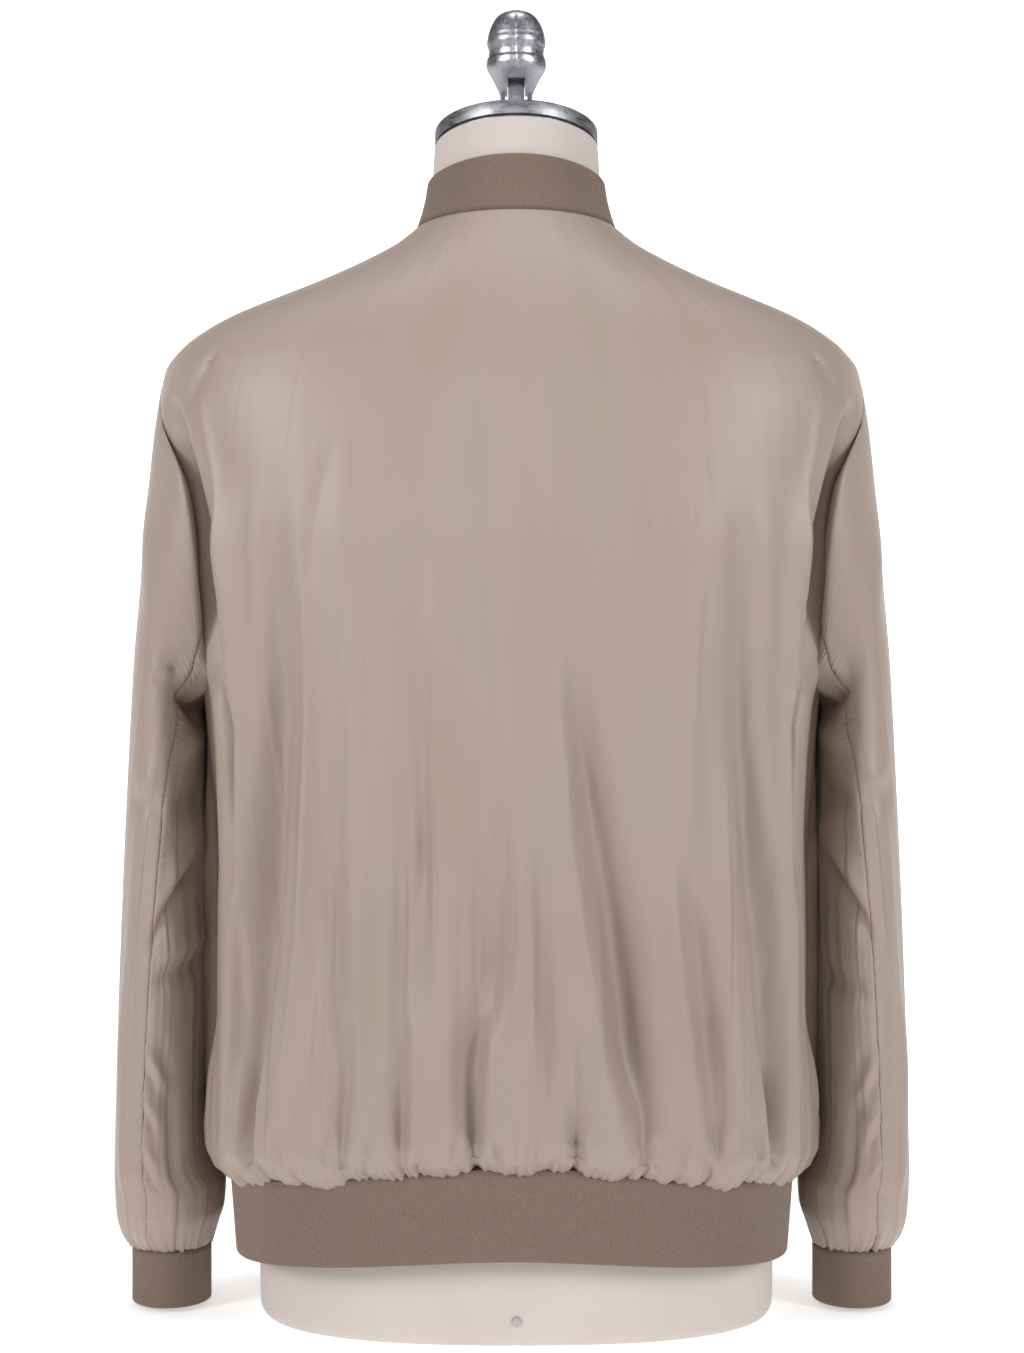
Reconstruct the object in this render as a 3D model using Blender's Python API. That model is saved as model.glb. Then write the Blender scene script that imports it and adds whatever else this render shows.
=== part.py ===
"""Bomber jacket on a limbless dress form, at its real size.

Metres, +Z up. A wearer would face +Y, so the back of the jacket faces -Y and the wearer's
left is -X. The origin is the centre of the dress form's flat base.

The body of the jacket is one surface, body_point(angle, level). The angle turns about Z from
+X towards +Y, and the level is the height at the sides, from the hem seam to the neck seam.
Every body panel is a patch of that surface, and the form's shoulders lie just under it.
"""
import math
from collections import namedtuple

import bmesh
import bpy
import numpy
from mathutils import Matrix, Vector

# ---------------------------------------------------------------- cloth
CLOTH_WALL = 0.0015
RIB_WALL = 0.0026
SEAM_GAP = 0.0003

# ---------------------------------------------------------------- body of the jacket
HEM_LEVEL = 0.0860
NECK_LEVEL = 0.7267
HEM_RISE_BACK = 0.0235
HEM_RISE_FRONT = 0.004
NECK_RISE_BACK = 0.0025
NECK_DROP_FRONT = 0.0327
JACKET_SHIFT = -0.003
SHIFT_END_LEVEL = 0.6440

BodySection = namedtuple("BodySection", "level half_width back front squareness")
BODY_SECTIONS = (
    BodySection(0.0860, 0.1855, 0.1380, 0.1270, 3.00),
    BodySection(0.0900, 0.1920, 0.1445, 0.1295, 2.90),
    BodySection(0.0940, 0.1985, 0.1485, 0.1310, 2.80),
    BodySection(0.1140, 0.2050, 0.1520, 0.1335, 2.70),
    BodySection(0.2040, 0.2055, 0.1500, 0.1300, 2.60),
    BodySection(0.3040, 0.2050, 0.1470, 0.1250, 2.60),
    BodySection(0.3640, 0.2052, 0.1468, 0.1255, 2.60),
    BodySection(0.4140, 0.2080, 0.1473, 0.1275, 2.60),
    BodySection(0.4540, 0.2145, 0.1478, 0.1295, 2.60),
    BodySection(0.5040, 0.2220, 0.1480, 0.1300, 2.60),
    BodySection(0.5540, 0.2310, 0.1445, 0.1240, 2.50),
    BodySection(0.6040, 0.2375, 0.1370, 0.1150, 2.50),
    BodySection(0.6290, 0.2338, 0.1310, 0.1090, 2.45),
    BodySection(0.6440, 0.2232, 0.1260, 0.1040, 2.40),
    BodySection(0.6560, 0.2075, 0.1200, 0.0990, 2.40),
    BodySection(0.6654, 0.1910, 0.1150, 0.0960, 2.35),
    BodySection(0.6742, 0.1705, 0.1100, 0.0930, 2.30),
    BodySection(0.6871, 0.1385, 0.1020, 0.0870, 2.25),
    BodySection(0.7019, 0.1062, 0.0920, 0.0790, 2.20),
    BodySection(0.7140, 0.0842, 0.0835, 0.0725, 2.15),
    BodySection(0.7267, 0.0680, 0.0750, 0.0660, 2.10),
)

# The side seam, the shoulder seam and the middle of the armhole lie a little ahead of the side.
SIDE_TURN = math.radians(2.0)
ARMHOLE_LOW = 0.4140
ARMHOLE_HIGH = 0.6290
ARMHOLE_SPREAD = math.radians(17.5)
ARMHOLE_STEPS = 10
LEVELS_BELOW_ARMHOLE = (0.0860, 0.0905, 0.0980, 0.1160, 0.1540, 0.2140, 0.2790, 0.3490)
LEVELS_ABOVE_ARMHOLE = (0.6440, 0.6590, 0.6730, 0.6870, 0.7010, 0.7150, 0.7267)
BACK_COLUMNS = 24
FRONT_COLUMNS = 11
FRONT_HALF_GAP = 0.004

# The largest folds of the body, as ridges (height above 0) and troughs (below 0). The places
# are x across the garment and z up it, at the fold's top and bottom.
Fold = namedtuple("Fold", "facing top_x top_z bottom_x bottom_z reach height")
BACK_SIDE = -1
FRONT_SIDE = 1
FOLDS = (
    Fold(BACK_SIDE, -0.194, 0.564, -0.181, 0.284, 0.012, 0.0040),
    Fold(BACK_SIDE, -0.146, 0.504, -0.161, 0.114, 0.015, -0.0045),
    Fold(BACK_SIDE, -0.128, 0.474, -0.146, 0.114, 0.014, 0.0035),
    Fold(BACK_SIDE, -0.060, 0.544, -0.072, 0.114, 0.018, -0.0030),
    Fold(BACK_SIDE, -0.014, 0.384, -0.025, 0.109, 0.017, -0.0045),
    Fold(BACK_SIDE, 0.030, 0.454, 0.072, 0.114, 0.018, 0.0040),
    Fold(BACK_SIDE, 0.049, 0.404, 0.088, 0.114, 0.015, -0.0045),
    Fold(BACK_SIDE, 0.094, 0.354, 0.129, 0.114, 0.016, 0.0035),
    Fold(BACK_SIDE, 0.150, 0.384, 0.163, 0.114, 0.015, -0.0045),
    Fold(BACK_SIDE, 0.196, 0.574, 0.184, 0.284, 0.012, 0.0040),
    Fold(FRONT_SIDE, -0.150, 0.484, -0.140, 0.099, 0.018, -0.0040),
    Fold(FRONT_SIDE, -0.104, 0.424, -0.092, 0.099, 0.019, 0.0040),
    Fold(FRONT_SIDE, -0.062, 0.334, -0.052, 0.099, 0.016, -0.0035),
    Fold(FRONT_SIDE, 0.058, 0.364, 0.050, 0.099, 0.016, -0.0035),
    Fold(FRONT_SIDE, 0.110, 0.444, 0.090, 0.099, 0.019, 0.0040),
    Fold(FRONT_SIDE, 0.155, 0.504, 0.138, 0.099, 0.018, -0.0040),
)
FOLD_TOP_FADE = 0.45
FOLD_BOTTOM_FADE = 0.06

# ---------------------------------------------------------------- ribbed bands
BandEdge = namedtuple("BandEdge", "half_width back front squareness side_z back_z front_z")
HEM_BOTTOM = BandEdge(0.1845, 0.1370, 0.1262, 3.0, 0.0445, 0.0580, 0.0480)
COLLAR_TOP = BandEdge(0.0602, 0.0650, 0.0560, 2.1, 0.7590, 0.7680, 0.7285)
COLLAR_BOW = 0.0012
CUFF_CENTRE = (0.2311, 0.0000)
CUFF_HALF_WIDTH = 0.0266
CUFF_HALF_DEPTH = 0.0330
CUFF_BOTTOM = 0.0030
HEM_ROWS = 1
COLLAR_ROWS = 2
CUFF_AROUND = 20

# ---------------------------------------------------------------- sleeves
# Each ring is an oval from its outer point to its inner point. The rings turn like a fan from
# the armhole, which stands upright, to the forearm, where they lie level. x is measured from
# the jacket's centre plane, and back and front are the reach along -Y and +Y.
SleeveRing = namedtuple("SleeveRing", "outer_x outer_z inner_x inner_z back front")
SLEEVE_RINGS = (
    SleeveRing(0.2338, 0.6290, 0.2084, 0.4140, 0.0600, 0.0770),
    SleeveRing(0.2385, 0.6040, 0.2092, 0.4070, 0.0610, 0.0780),
    SleeveRing(0.2434, 0.5690, 0.2095, 0.4010, 0.0615, 0.0790),
    SleeveRing(0.2482, 0.5290, 0.2096, 0.3960, 0.0620, 0.0800),
    SleeveRing(0.2522, 0.4840, 0.2094, 0.3910, 0.0620, 0.0810),
    SleeveRing(0.2558, 0.4440, 0.2092, 0.3850, 0.0620, 0.0820),
    SleeveRing(0.2582, 0.4040, 0.2090, 0.3770, 0.0620, 0.0815),
    SleeveRing(0.2602, 0.3640, 0.2086, 0.3610, 0.0620, 0.0810),
    SleeveRing(0.2628, 0.3090, 0.2081, 0.3090, 0.0610, 0.0780),
    SleeveRing(0.2652, 0.2540, 0.2078, 0.2540, 0.0595, 0.0745),
    SleeveRing(0.2670, 0.1990, 0.2078, 0.1990, 0.0585, 0.0705),
    SleeveRing(0.2684, 0.1440, 0.2077, 0.1460, 0.0575, 0.0665),
    SleeveRing(0.2692, 0.1060, 0.2066, 0.1100, 0.0570, 0.0630),
    SleeveRing(0.2694, 0.0900, 0.2030, 0.0970, 0.0565, 0.0605),
    SleeveRing(0.2690, 0.0780, 0.1948, 0.0840, 0.0560, 0.0580),
    SleeveRing(0.2676, 0.0610, 0.1955, 0.0690, 0.0530, 0.0530),
    SleeveRing(0.2646, 0.0500, 0.1995, 0.0560, 0.0450, 0.0450),
    SleeveRing(0.2592, 0.0410, 0.2046, 0.0410, 0.0330, 0.0330),
)
ARMHOLE_BLEND_RINGS = 4.0
SLEEVE_AROUND = 2 * ARMHOLE_STEPS
# The back seam's place round the ring, counted in columns from the outer point towards -Y, at
# the ring with the same number. The front seam keeps its column.
BACK_SEAM_COLUMNS = (7, 7, 7, 7, 7, 6.9, 6.6, 6.1, 5.5, 5, 4.7, 4.5, 4.4, 4.3, 4.2, 4.1, 4, 4)
SLEEVE_SEAM_INSET = 0.0002
FRONT_SEAM_COLUMN = 14
TOP_SLEEVE_COLUMNS = 13
UNDER_SLEEVE_COLUMNS = 7

# ---------------------------------------------------------------- front zip
ZIP_TAPE_WIDTH = 0.014
ZIP_TAPE_WALL = 0.0010
ZIP_TAPE_GAP = 0.0006
ZIP_CHAIN_HALF_WIDTH = 0.0030
ZIP_CHAIN_PROUD = 0.0003
ZIP_CHAIN_WALL = 0.0018
SLIDER_LEVEL = 0.7100
SLIDER_GAP = 0.0004
SLIDER_SIZE = (0.0076, 0.0110, 0.0020)
SLIDER_LUG = (0.0010, 0.0030, 0.0034)
SLIDER_LUG_X = 0.0026
PIN_RADIUS = 0.0005
PULL_BARREL_RADIUS = 0.0014
PULL_BORE_RADIUS = 0.0008
PULL_BARREL_LENGTH = 0.0034
PULL_SIZE = (0.0050, 0.0240, 0.0011)
PULL_NECK = 0.0030
PULL_LEAN_DROP = 0.030
UNION_BITE = 0.0003

# ---------------------------------------------------------------- dress form
FORM_CLEARANCE = 0.0014
FORM_AROUND = 44
FormSection = namedtuple("FormSection", "z half_width back front squareness")
FORM_SECTIONS = (
    FormSection(0.000, 0.1690, 0.1130, 0.1090, 2.5),
    FormSection(0.003, 0.1715, 0.1155, 0.1115, 2.5),
    FormSection(0.009, 0.1727, 0.1168, 0.1127, 2.5),
    FormSection(0.044, 0.1730, 0.1185, 0.1140, 2.5),
    FormSection(0.104, 0.1700, 0.1200, 0.1130, 2.5),
    FormSection(0.174, 0.1630, 0.1150, 0.1080, 2.45),
    FormSection(0.244, 0.1560, 0.1080, 0.1010, 2.4),
    FormSection(0.314, 0.1550, 0.1060, 0.1000, 2.4),
    FormSection(0.384, 0.1620, 0.1100, 0.1060, 2.4),
    FormSection(0.454, 0.1720, 0.1180, 0.1130, 2.4),
    FormSection(0.514, 0.1800, 0.1230, 0.1120, 2.4),
    FormSection(0.564, 0.1900, 0.1230, 0.1040, 2.4),
    FormSection(0.599, 0.2020, 0.1210, 0.0950, 2.4),
)
SEATED_LEVELS = (0.6440, 0.6590, 0.6730, 0.6870, 0.7010, 0.7150)
ZIP_RELIEF = 0.0030
ZIP_RELIEF_REACH = 0.030
NECK_CLEARANCE = 0.0010
NECK_COLLAR_SHARES = (0.0, 0.35, 0.7, 1.0)
NECK_TOP_SHARES = (0.4, 0.8, 1.0)
NECK_CENTRE_Y = -0.004
NECK_TOP_RADIUS = 0.0553
CAP_TILT = math.radians(11.6)
CAP_SEAT_Z = 0.7815
CAP_GAP = 0.0004
CAP_RADIUS = 0.0552
CAP_THICKNESS = 0.0125
CAP_BEVEL = 0.0009
LUG_SIZE = (0.0110, 0.0090)
LUG_TOP = 0.8272
KNOB_BOTTOM = 0.8000
KNOB_PROFILE = (
    (0.0112, 0.8000), (0.0112, 0.8179), (0.0129, 0.8239), (0.0165, 0.8312), (0.0192, 0.8360),
    (0.0200, 0.8391), (0.0197, 0.8425), (0.0186, 0.8470), (0.0193, 0.8505), (0.0202, 0.8537),
    (0.0200, 0.8565), (0.0190, 0.8604), (0.0182, 0.8630), (0.0167, 0.8665), (0.0143, 0.8705),
    (0.0100, 0.8742), (0.0050, 0.8760),
)
KNOB_TOP = 0.8765
KNOB_STEPS = 36
KNOB_SLOT = (0.0118, 0.8280)
KNOB_RECESS = (0.0150, 0.8205)
TACK_RADIUS = 0.0028
TACK_THICKNESS = 0.0010
TACK_Z = 0.0166

# ---------------------------------------------------------------- finishes
Finish = namedtuple("Finish", "colour roughness metallic")
FINISHES = {
    "satin": Finish((0.42, 0.35, 0.29), 0.45, 0.0),
    "rib": Finish((0.20, 0.15, 0.11), 0.9, 0.0),
    "linen": Finish((0.72, 0.66, 0.60), 0.95, 0.0),
    "cast_metal": Finish((0.45, 0.45, 0.48), 0.35, 1.0),
    "zip_tape": Finish((0.20, 0.15, 0.11), 0.8, 0.0),
    "zip_metal": Finish((0.50, 0.48, 0.44), 0.3, 1.0),
}


def clear_scene():
    for thing in list(bpy.data.objects):
        bpy.data.objects.remove(thing, do_unlink=True)


def finish_material(name):
    material = bpy.data.materials.get(name) or bpy.data.materials.new(name)
    material.use_nodes = True
    shader = material.node_tree.nodes["Principled BSDF"]
    finish = FINISHES[name]
    shader.inputs["Base Color"].default_value = (*finish.colour, 1.0)
    shader.inputs["Roughness"].default_value = finish.roughness
    shader.inputs["Metallic"].default_value = finish.metallic
    return material


def object_from_bmesh(bm, name, finish, smooth_angle=math.radians(40)):
    bmesh.ops.recalc_face_normals(bm, faces=bm.faces[:])
    mesh = bpy.data.meshes.new(name)
    bm.to_mesh(mesh)
    bm.free()
    mesh.shade_smooth()
    mesh.set_sharp_from_angle(angle=smooth_angle)
    mesh.materials.append(finish_material(finish))
    thing = bpy.data.objects.new(name, mesh)
    bpy.context.scene.collection.objects.link(thing)
    return thing


# ---------------------------------------------------------------- curves through the tables
def smoothstep(low, high, value):
    share = min(max((value - low) / (high - low), 0.0), 1.0)
    return share * share * (3.0 - 2.0 * share)


def steady_slopes(keys, values):
    """Slopes for a smooth curve through a table that never overshoots its rows."""
    steps = numpy.diff(keys)
    rates = numpy.diff(values) / steps
    slopes = numpy.zeros(len(keys))
    slopes[0], slopes[-1] = rates[0], rates[-1]
    for row in range(1, len(keys) - 1):
        before, after = rates[row - 1], rates[row]
        if before * after > 0.0:
            slopes[row] = 2.0 * before * after / (before + after)
    return slopes


class SmoothTable:
    """Reads every column of a table of named rows at any value of its key."""

    def __init__(self, rows, key):
        self.names = [name for name in rows[0]._fields if name != key]
        self.keys = numpy.array([getattr(row, key) for row in rows])
        self.columns = {n: numpy.array([getattr(row, n) for row in rows]) for n in self.names}
        self.slopes = {n: steady_slopes(self.keys, self.columns[n]) for n in self.names}

    def at(self, key):
        key = min(max(key, self.keys[0]), self.keys[-1])
        row = min(int(numpy.searchsorted(self.keys, key, side="right")) - 1, len(self.keys) - 2)
        step = self.keys[row + 1] - self.keys[row]
        t = (key - self.keys[row]) / step
        weights = (2 * t**3 - 3 * t**2 + 1, t**3 - 2 * t**2 + t, 3 * t**2 - 2 * t**3, t**3 - t**2)
        found = {}
        for name in self.names:
            value, slope = self.columns[name], self.slopes[name]
            terms = (value[row], slope[row] * step, value[row + 1], slope[row + 1] * step)
            found[name] = float(sum(w * term for w, term in zip(weights, terms)))
        return found


def superellipse_radius(angle, half_width, half_depth, squareness):
    across = abs(math.cos(angle)) / half_width
    along = abs(math.sin(angle)) / half_depth
    return (across**squareness + along**squareness) ** (-1.0 / squareness)


def oval_point(angle, half_width, back, front, squareness, z):
    depth = front if math.sin(angle) > 0.0 else back
    radius = superellipse_radius(angle, half_width, depth, squareness)
    return Vector((radius * math.cos(angle), radius * math.sin(angle), z))


# ---------------------------------------------------------------- the body's surface
BODY_TABLE = SmoothTable(BODY_SECTIONS, "level")


def body_height(angle, level):
    share = (level - HEM_LEVEL) / (NECK_LEVEL - HEM_LEVEL)
    facing = math.sin(angle)
    hem_rise = HEM_RISE_FRONT if facing > 0.0 else HEM_RISE_BACK
    neck_rise = -NECK_DROP_FRONT if facing > 0.0 else NECK_RISE_BACK
    return level + facing**2 * (hem_rise * (1.0 - share) ** 3 + neck_rise * share**3)


def body_centre_x(level):
    return JACKET_SHIFT * (1.0 - smoothstep(SHIFT_END_LEVEL, NECK_LEVEL, level))


def plain_body_point(angle, level):
    section = BODY_TABLE.at(level)
    point = oval_point(angle, z=body_height(angle, level), **section)
    point.x += body_centre_x(level)
    return point


def fold_height(point, facing):
    """How far the folds lift the cloth at a point on the back or the front."""
    total = 0.0
    for fold in FOLDS:
        if fold.facing != facing:
            continue
        share = (point.z - fold.bottom_z) / (fold.top_z - fold.bottom_z)
        if not 0.0 < share < 1.0:
            continue
        centre = fold.bottom_x + (fold.top_x - fold.bottom_x) * share
        ends = smoothstep(0.0, FOLD_BOTTOM_FADE, share) * smoothstep(0.0, FOLD_TOP_FADE, 1.0 - share)
        across = (point.x - JACKET_SHIFT - centre) / fold.reach
        total += fold.height * ends * math.exp(-across * across)
    return total


def outward(surface, first, second, step_first, step_second):
    """The unit normal of surface(first, second), pointing away from the Z axis or a given side."""
    along = surface(first + step_first, second) - surface(first - step_first, second)
    up = surface(first, second + step_second) - surface(first, second - step_second)
    return along.cross(up).normalized()


def body_point(angle, level):
    point = plain_body_point(angle, level)
    facing = FRONT_SIDE if math.sin(angle) > 0.0 else BACK_SIDE
    lift = fold_height(point, facing)
    if lift:
        point += outward(plain_body_point, angle, level, 0.01, 0.001) * lift
    return point


def body_normal(angle, level):
    level = min(max(level, HEM_LEVEL + 0.0011), NECK_LEVEL - 0.0011)
    return outward(body_point, angle, level, 0.01, 0.001)


def even_way_table():
    """Pairs of angle and distance round the body at mid height, over two turns."""
    angles = numpy.radians(numpy.linspace(0.0, 720.0, 1441))
    middle = 0.5 * (HEM_LEVEL + ARMHOLE_LOW)
    points = [plain_body_point(angle, middle) for angle in angles]
    steps = [(b.xy - a.xy).length for a, b in zip(points, points[1:])]
    return angles, numpy.concatenate(([0.0], numpy.cumsum(steps)))


WAY_ANGLES, WAYS = even_way_table()


def even_angles(first, last, columns):
    """Angles from first to last, evenly spaced in distance round the body."""
    ways = numpy.interp((first, last), WAY_ANGLES, WAYS)
    return [float(a) for a in numpy.interp(numpy.linspace(*ways, columns + 1), WAYS, WAY_ANGLES)]


def armhole_angle(place):
    """Angle ahead of the side, for a place round the armhole: 0 at its top, then the back."""
    return SIDE_TURN - ARMHOLE_SPREAD * math.sin(place)


def armhole_level(place):
    middle = 0.5 * (ARMHOLE_LOW + ARMHOLE_HIGH)
    return middle + 0.5 * (ARMHOLE_HIGH - ARMHOLE_LOW) * math.cos(place)


def body_levels():
    places = [math.pi * (1.0 - step / ARMHOLE_STEPS) for step in range(ARMHOLE_STEPS + 1)]
    return [*LEVELS_BELOW_ARMHOLE, *(armhole_level(place) for place in places), *LEVELS_ABOVE_ARMHOLE]


def armhole_place(level):
    """The back place on the armhole at a level, or None above and below it."""
    middle = 0.5 * (ARMHOLE_LOW + ARMHOLE_HIGH)
    share = (level - middle) / (0.5 * (ARMHOLE_HIGH - ARMHOLE_LOW))
    return math.acos(share) if abs(share) < 1.0 - 1e-9 else None


def side_edge(level, facing):
    """Angle ahead of the side at which a back or front panel ends."""
    place = armhole_place(level)
    if place is None:
        return SIDE_TURN
    return armhole_angle(place if facing == BACK_SIDE else -place)


def front_edge(level, x):
    """Angle of the front's edge that is x from the centre plane."""
    return 0.5 * math.pi - math.atan(x / BODY_TABLE.at(level)["front"])


# ---------------------------------------------------------------- the sleeves' surface
def sleeve_table():
    row_type = namedtuple("SleeveRow", ("number", *SleeveRing._fields))
    rows = [row_type(float(number), *ring) for number, ring in enumerate(SLEEVE_RINGS)]
    return SmoothTable(rows, "number")


SLEEVE_TABLE = sleeve_table()


def right_armhole_point(place):
    return body_point(armhole_angle(place), armhole_level(place))


def sleeve_oval(place, ring):
    row = SLEEVE_TABLE.at(ring)
    outer = Vector((row["outer_x"] + JACKET_SHIFT, 0.0, row["outer_z"]))
    inner = Vector((row["inner_x"] + JACKET_SHIFT, 0.0, row["inner_z"]))
    middle_y = 0.5 * (row["front"] - row["back"])
    half_depth = 0.5 * (row["front"] + row["back"])
    point = 0.5 * (outer + inner) + 0.5 * (outer - inner) * math.cos(place)
    point.y = middle_y - half_depth * math.sin(place)
    return point


def right_sleeve_point(place, ring):
    """The right sleeve's outer face. place is 0 at the outer point and grows towards -Y."""
    point = sleeve_oval(place, ring)
    fade = 1.0 - smoothstep(0.0, ARMHOLE_BLEND_RINGS, ring)
    if fade > 0.0:
        point += (right_armhole_point(place) - sleeve_oval(place, 0.0)) * fade
    return point


def sleeve_normal(place, ring):
    ring = min(max(ring, 0.06), len(SLEEVE_RINGS) - 1.06)
    return outward(right_sleeve_point, place, ring, 0.02, 0.05)


def armhole_rim(place, own, other):
    """The way into the wall at the armhole, shared where the two walls face the same side."""
    shared = smoothstep(0.0, 0.3, own.dot(other))
    return (own + other * shared).normalized()


# ---------------------------------------------------------------- walls and tubes
Spot = namedtuple("Spot", "point outward")


def wall_from_spots(name, finish, spots, wall, closed=False):
    """A closed wall from rows of spots: the outer face at the points, the inner face behind."""
    rows, columns = len(spots) - 1, len(spots[0]) - 1
    bm = bmesh.new()
    bmesh.ops.create_grid(bm, x_segments=columns, y_segments=rows, size=0.5)
    way_in = bm.verts.layers.float_vector.new("way_in")
    for vert in bm.verts:
        column = round((vert.co.x + 0.5) * columns)
        row = round((vert.co.y + 0.5) * rows)
        spot = spots[row][column]
        vert.co = spot.point
        vert[way_in] = spot.outward
    if closed:
        bmesh.ops.remove_doubles(bm, verts=bm.verts[:], dist=1e-6)
    outer_rim = [edge for edge in bm.edges if edge.is_boundary]
    copy = bmesh.ops.duplicate(bm, geom=bm.verts[:] + bm.edges[:] + bm.faces[:])
    twin = copy["vert_map"]
    for item in copy["geom"]:
        if isinstance(item, bmesh.types.BMVert):
            item.co = item.co - item[way_in] * wall
    for edge in outer_rim:
        first, second = edge.verts
        bm.faces.new((first, second, twin[second], twin[first]))
    return object_from_bmesh(bm, name, finish)


def pull_back(spots, gap, first_column=False, last_column=False, first_row=False, last_row=False):
    """Moves the named edges of a panel inwards along the cloth by half a seam gap."""
    def moved(spot, neighbour):
        step = (neighbour.point - spot.point).normalized() * gap
        return Spot(spot.point + step, spot.outward)

    if first_column:
        spots = [[moved(row[0], row[1]), *row[1:]] for row in spots]
    if last_column:
        spots = [[*row[:-1], moved(row[-1], row[-2])] for row in spots]
    if first_row:
        spots = [[moved(a, b) for a, b in zip(spots[0], spots[1])], *spots[1:]]
    if last_row:
        spots = [*spots[:-1], [moved(a, b) for a, b in zip(spots[-1], spots[-2])]]
    return spots


def mirrored(point):
    """The matching point of the left side, about the jacket's centre plane."""
    return Vector((2.0 * JACKET_SHIFT - point.x, point.y, point.z))


def mirrored_way(way):
    return Vector((-way.x, way.y, way.z))


# ---------------------------------------------------------------- body panels
def body_spot(angle, level, on_armhole, facing):
    normal = body_normal(angle, level)
    place = armhole_place(level) if on_armhole else None
    if place is not None:
        right = math.cos(angle) > 0.0
        sleeve_way = sleeve_normal(place if facing == BACK_SIDE else -place, 0.0)
        normal = armhole_rim(place, normal, sleeve_way if right else mirrored_way(sleeve_way))
    return Spot(body_point(angle, level), normal)


def back_angles(level):
    edge = side_edge(level, BACK_SIDE)
    return even_angles(math.pi - edge, 2.0 * math.pi + edge, BACK_COLUMNS)


def front_right_angles(level):
    return even_angles(side_edge(level, FRONT_SIDE), front_edge(level, FRONT_HALF_GAP), FRONT_COLUMNS)


def front_left_angles(level):
    return [math.pi - angle for angle in reversed(front_right_angles(level))]


def make_back():
    spots = []
    for level in body_levels():
        angles = back_angles(level)
        ends = (0, BACK_COLUMNS)
        spots.append([body_spot(a, level, i in ends, BACK_SIDE) for i, a in enumerate(angles)])
    spots = pull_back(spots, 0.5 * SEAM_GAP, first_column=True, last_column=True)
    return wall_from_spots("back", "satin", spots, CLOTH_WALL)


def make_front(name, angles_at, armhole_column):
    spots = []
    for level in body_levels():
        angles = angles_at(level)
        row = [body_spot(a, level, i == armhole_column, FRONT_SIDE) for i, a in enumerate(angles)]
        spots.append(row)
    at_start = armhole_column == 0
    spots = pull_back(spots, 0.5 * SEAM_GAP, first_column=at_start, last_column=not at_start)
    return wall_from_spots(name, "satin", spots, CLOTH_WALL)


# ---------------------------------------------------------------- ribbed bands
def band_angles(level):
    """Angles from the right front edge, round the back, to the left front edge."""
    right = [angle + 2.0 * math.pi for angle in reversed(front_right_angles(level))]
    back = list(reversed(back_angles(level)))
    left = list(reversed(front_left_angles(level)))
    return [*right, *back[1:], *left[1:]]


def band_edge_point(angle, edge, centre_x):
    facing = math.sin(angle)
    end_z = edge.front_z if facing > 0.0 else edge.back_z
    z = edge.side_z + (end_z - edge.side_z) * facing**2
    point = oval_point(angle, edge.half_width, edge.back, edge.front, edge.squareness, z)
    point.x += centre_x
    return point


def hem_point(angle, share):
    """The hem band's outer face, from its bottom (share 0) to the hem seam (share 1)."""
    top = plain_body_point(angle, HEM_LEVEL)
    return band_edge_point(angle, HEM_BOTTOM, JACKET_SHIFT).lerp(top, share)


def collar_point(angle, share):
    """The collar's outer face, from the neck seam (share 0) to its top edge (share 1)."""
    bottom = plain_body_point(angle, NECK_LEVEL)
    point = bottom.lerp(band_edge_point(angle, COLLAR_TOP, 0.0), share)
    bow = COLLAR_BOW * math.sin(math.pi * share)
    return point - Vector((math.cos(angle), math.sin(angle), 0.0)) * bow


def make_band(name, surface, level, rows, seam_on_top):
    angles = band_angles(level)
    spots = []
    for row in range(rows + 1):
        share = row / rows
        safe_share = min(max(share, 0.02), 0.98)
        ring = []
        for angle in angles:
            normal = outward(surface, angle, safe_share, 0.01, 0.02)
            level_normal = Vector((normal.x, normal.y, 0.0)).normalized()
            ring.append(Spot(surface(angle, share), level_normal))
        spots.append(ring)
    spots = pull_back(spots, SEAM_GAP, first_row=not seam_on_top, last_row=seam_on_top)
    return wall_from_spots(name, "rib", spots, RIB_WALL)


def make_cuff(name, side):
    top = SLEEVE_RINGS[-1].outer_z - SEAM_GAP
    spots = []
    for z in (CUFF_BOTTOM, top):
        ring = []
        for column in range(CUFF_AROUND + 1):
            turn = 2.0 * math.pi * column / CUFF_AROUND
            way = Vector((math.cos(turn) / CUFF_HALF_WIDTH, math.sin(turn) / CUFF_HALF_DEPTH, 0.0))
            x = CUFF_CENTRE[0] + CUFF_HALF_WIDTH * math.cos(turn)
            point = Vector((x + JACKET_SHIFT, CUFF_CENTRE[1] + CUFF_HALF_DEPTH * math.sin(turn), z))
            ring.append(Spot(point, way.normalized()))
        spots.append(ring)
    if side == "left":
        spots = [[Spot(mirrored(s.point), mirrored_way(s.outward)) for s in row] for row in spots]
    return wall_from_spots(name, "rib", spots, RIB_WALL, closed=True)


# ---------------------------------------------------------------- sleeves
def sleeve_spot(column, ring):
    place = 2.0 * math.pi * column / SLEEVE_AROUND
    normal = sleeve_normal(place, float(ring))
    point = right_sleeve_point(place, float(ring))
    if ring == 0:
        angle, level = armhole_angle(place), armhole_level(place)
        normal = armhole_rim(place, normal, body_normal(angle, level))
        point = point + Vector((SEAM_GAP, 0.0, -0.5 * SEAM_GAP))
    return Spot(point, normal)


def make_sleeve_piece(name, side, columns, first_column_at, last_column_at):
    spots = []
    for ring in range(len(SLEEVE_RINGS)):
        places = numpy.linspace(first_column_at(ring), last_column_at(ring), columns + 1)
        spots.append([sleeve_spot(float(place), ring) for place in places])
    spots = pull_back(spots, SLEEVE_SEAM_INSET, first_column=True, last_column=True)
    if side == "left":
        spots = [[Spot(mirrored(s.point), mirrored_way(s.outward)) for s in row] for row in spots]
    return wall_from_spots(name, "satin", spots, CLOTH_WALL)


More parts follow.
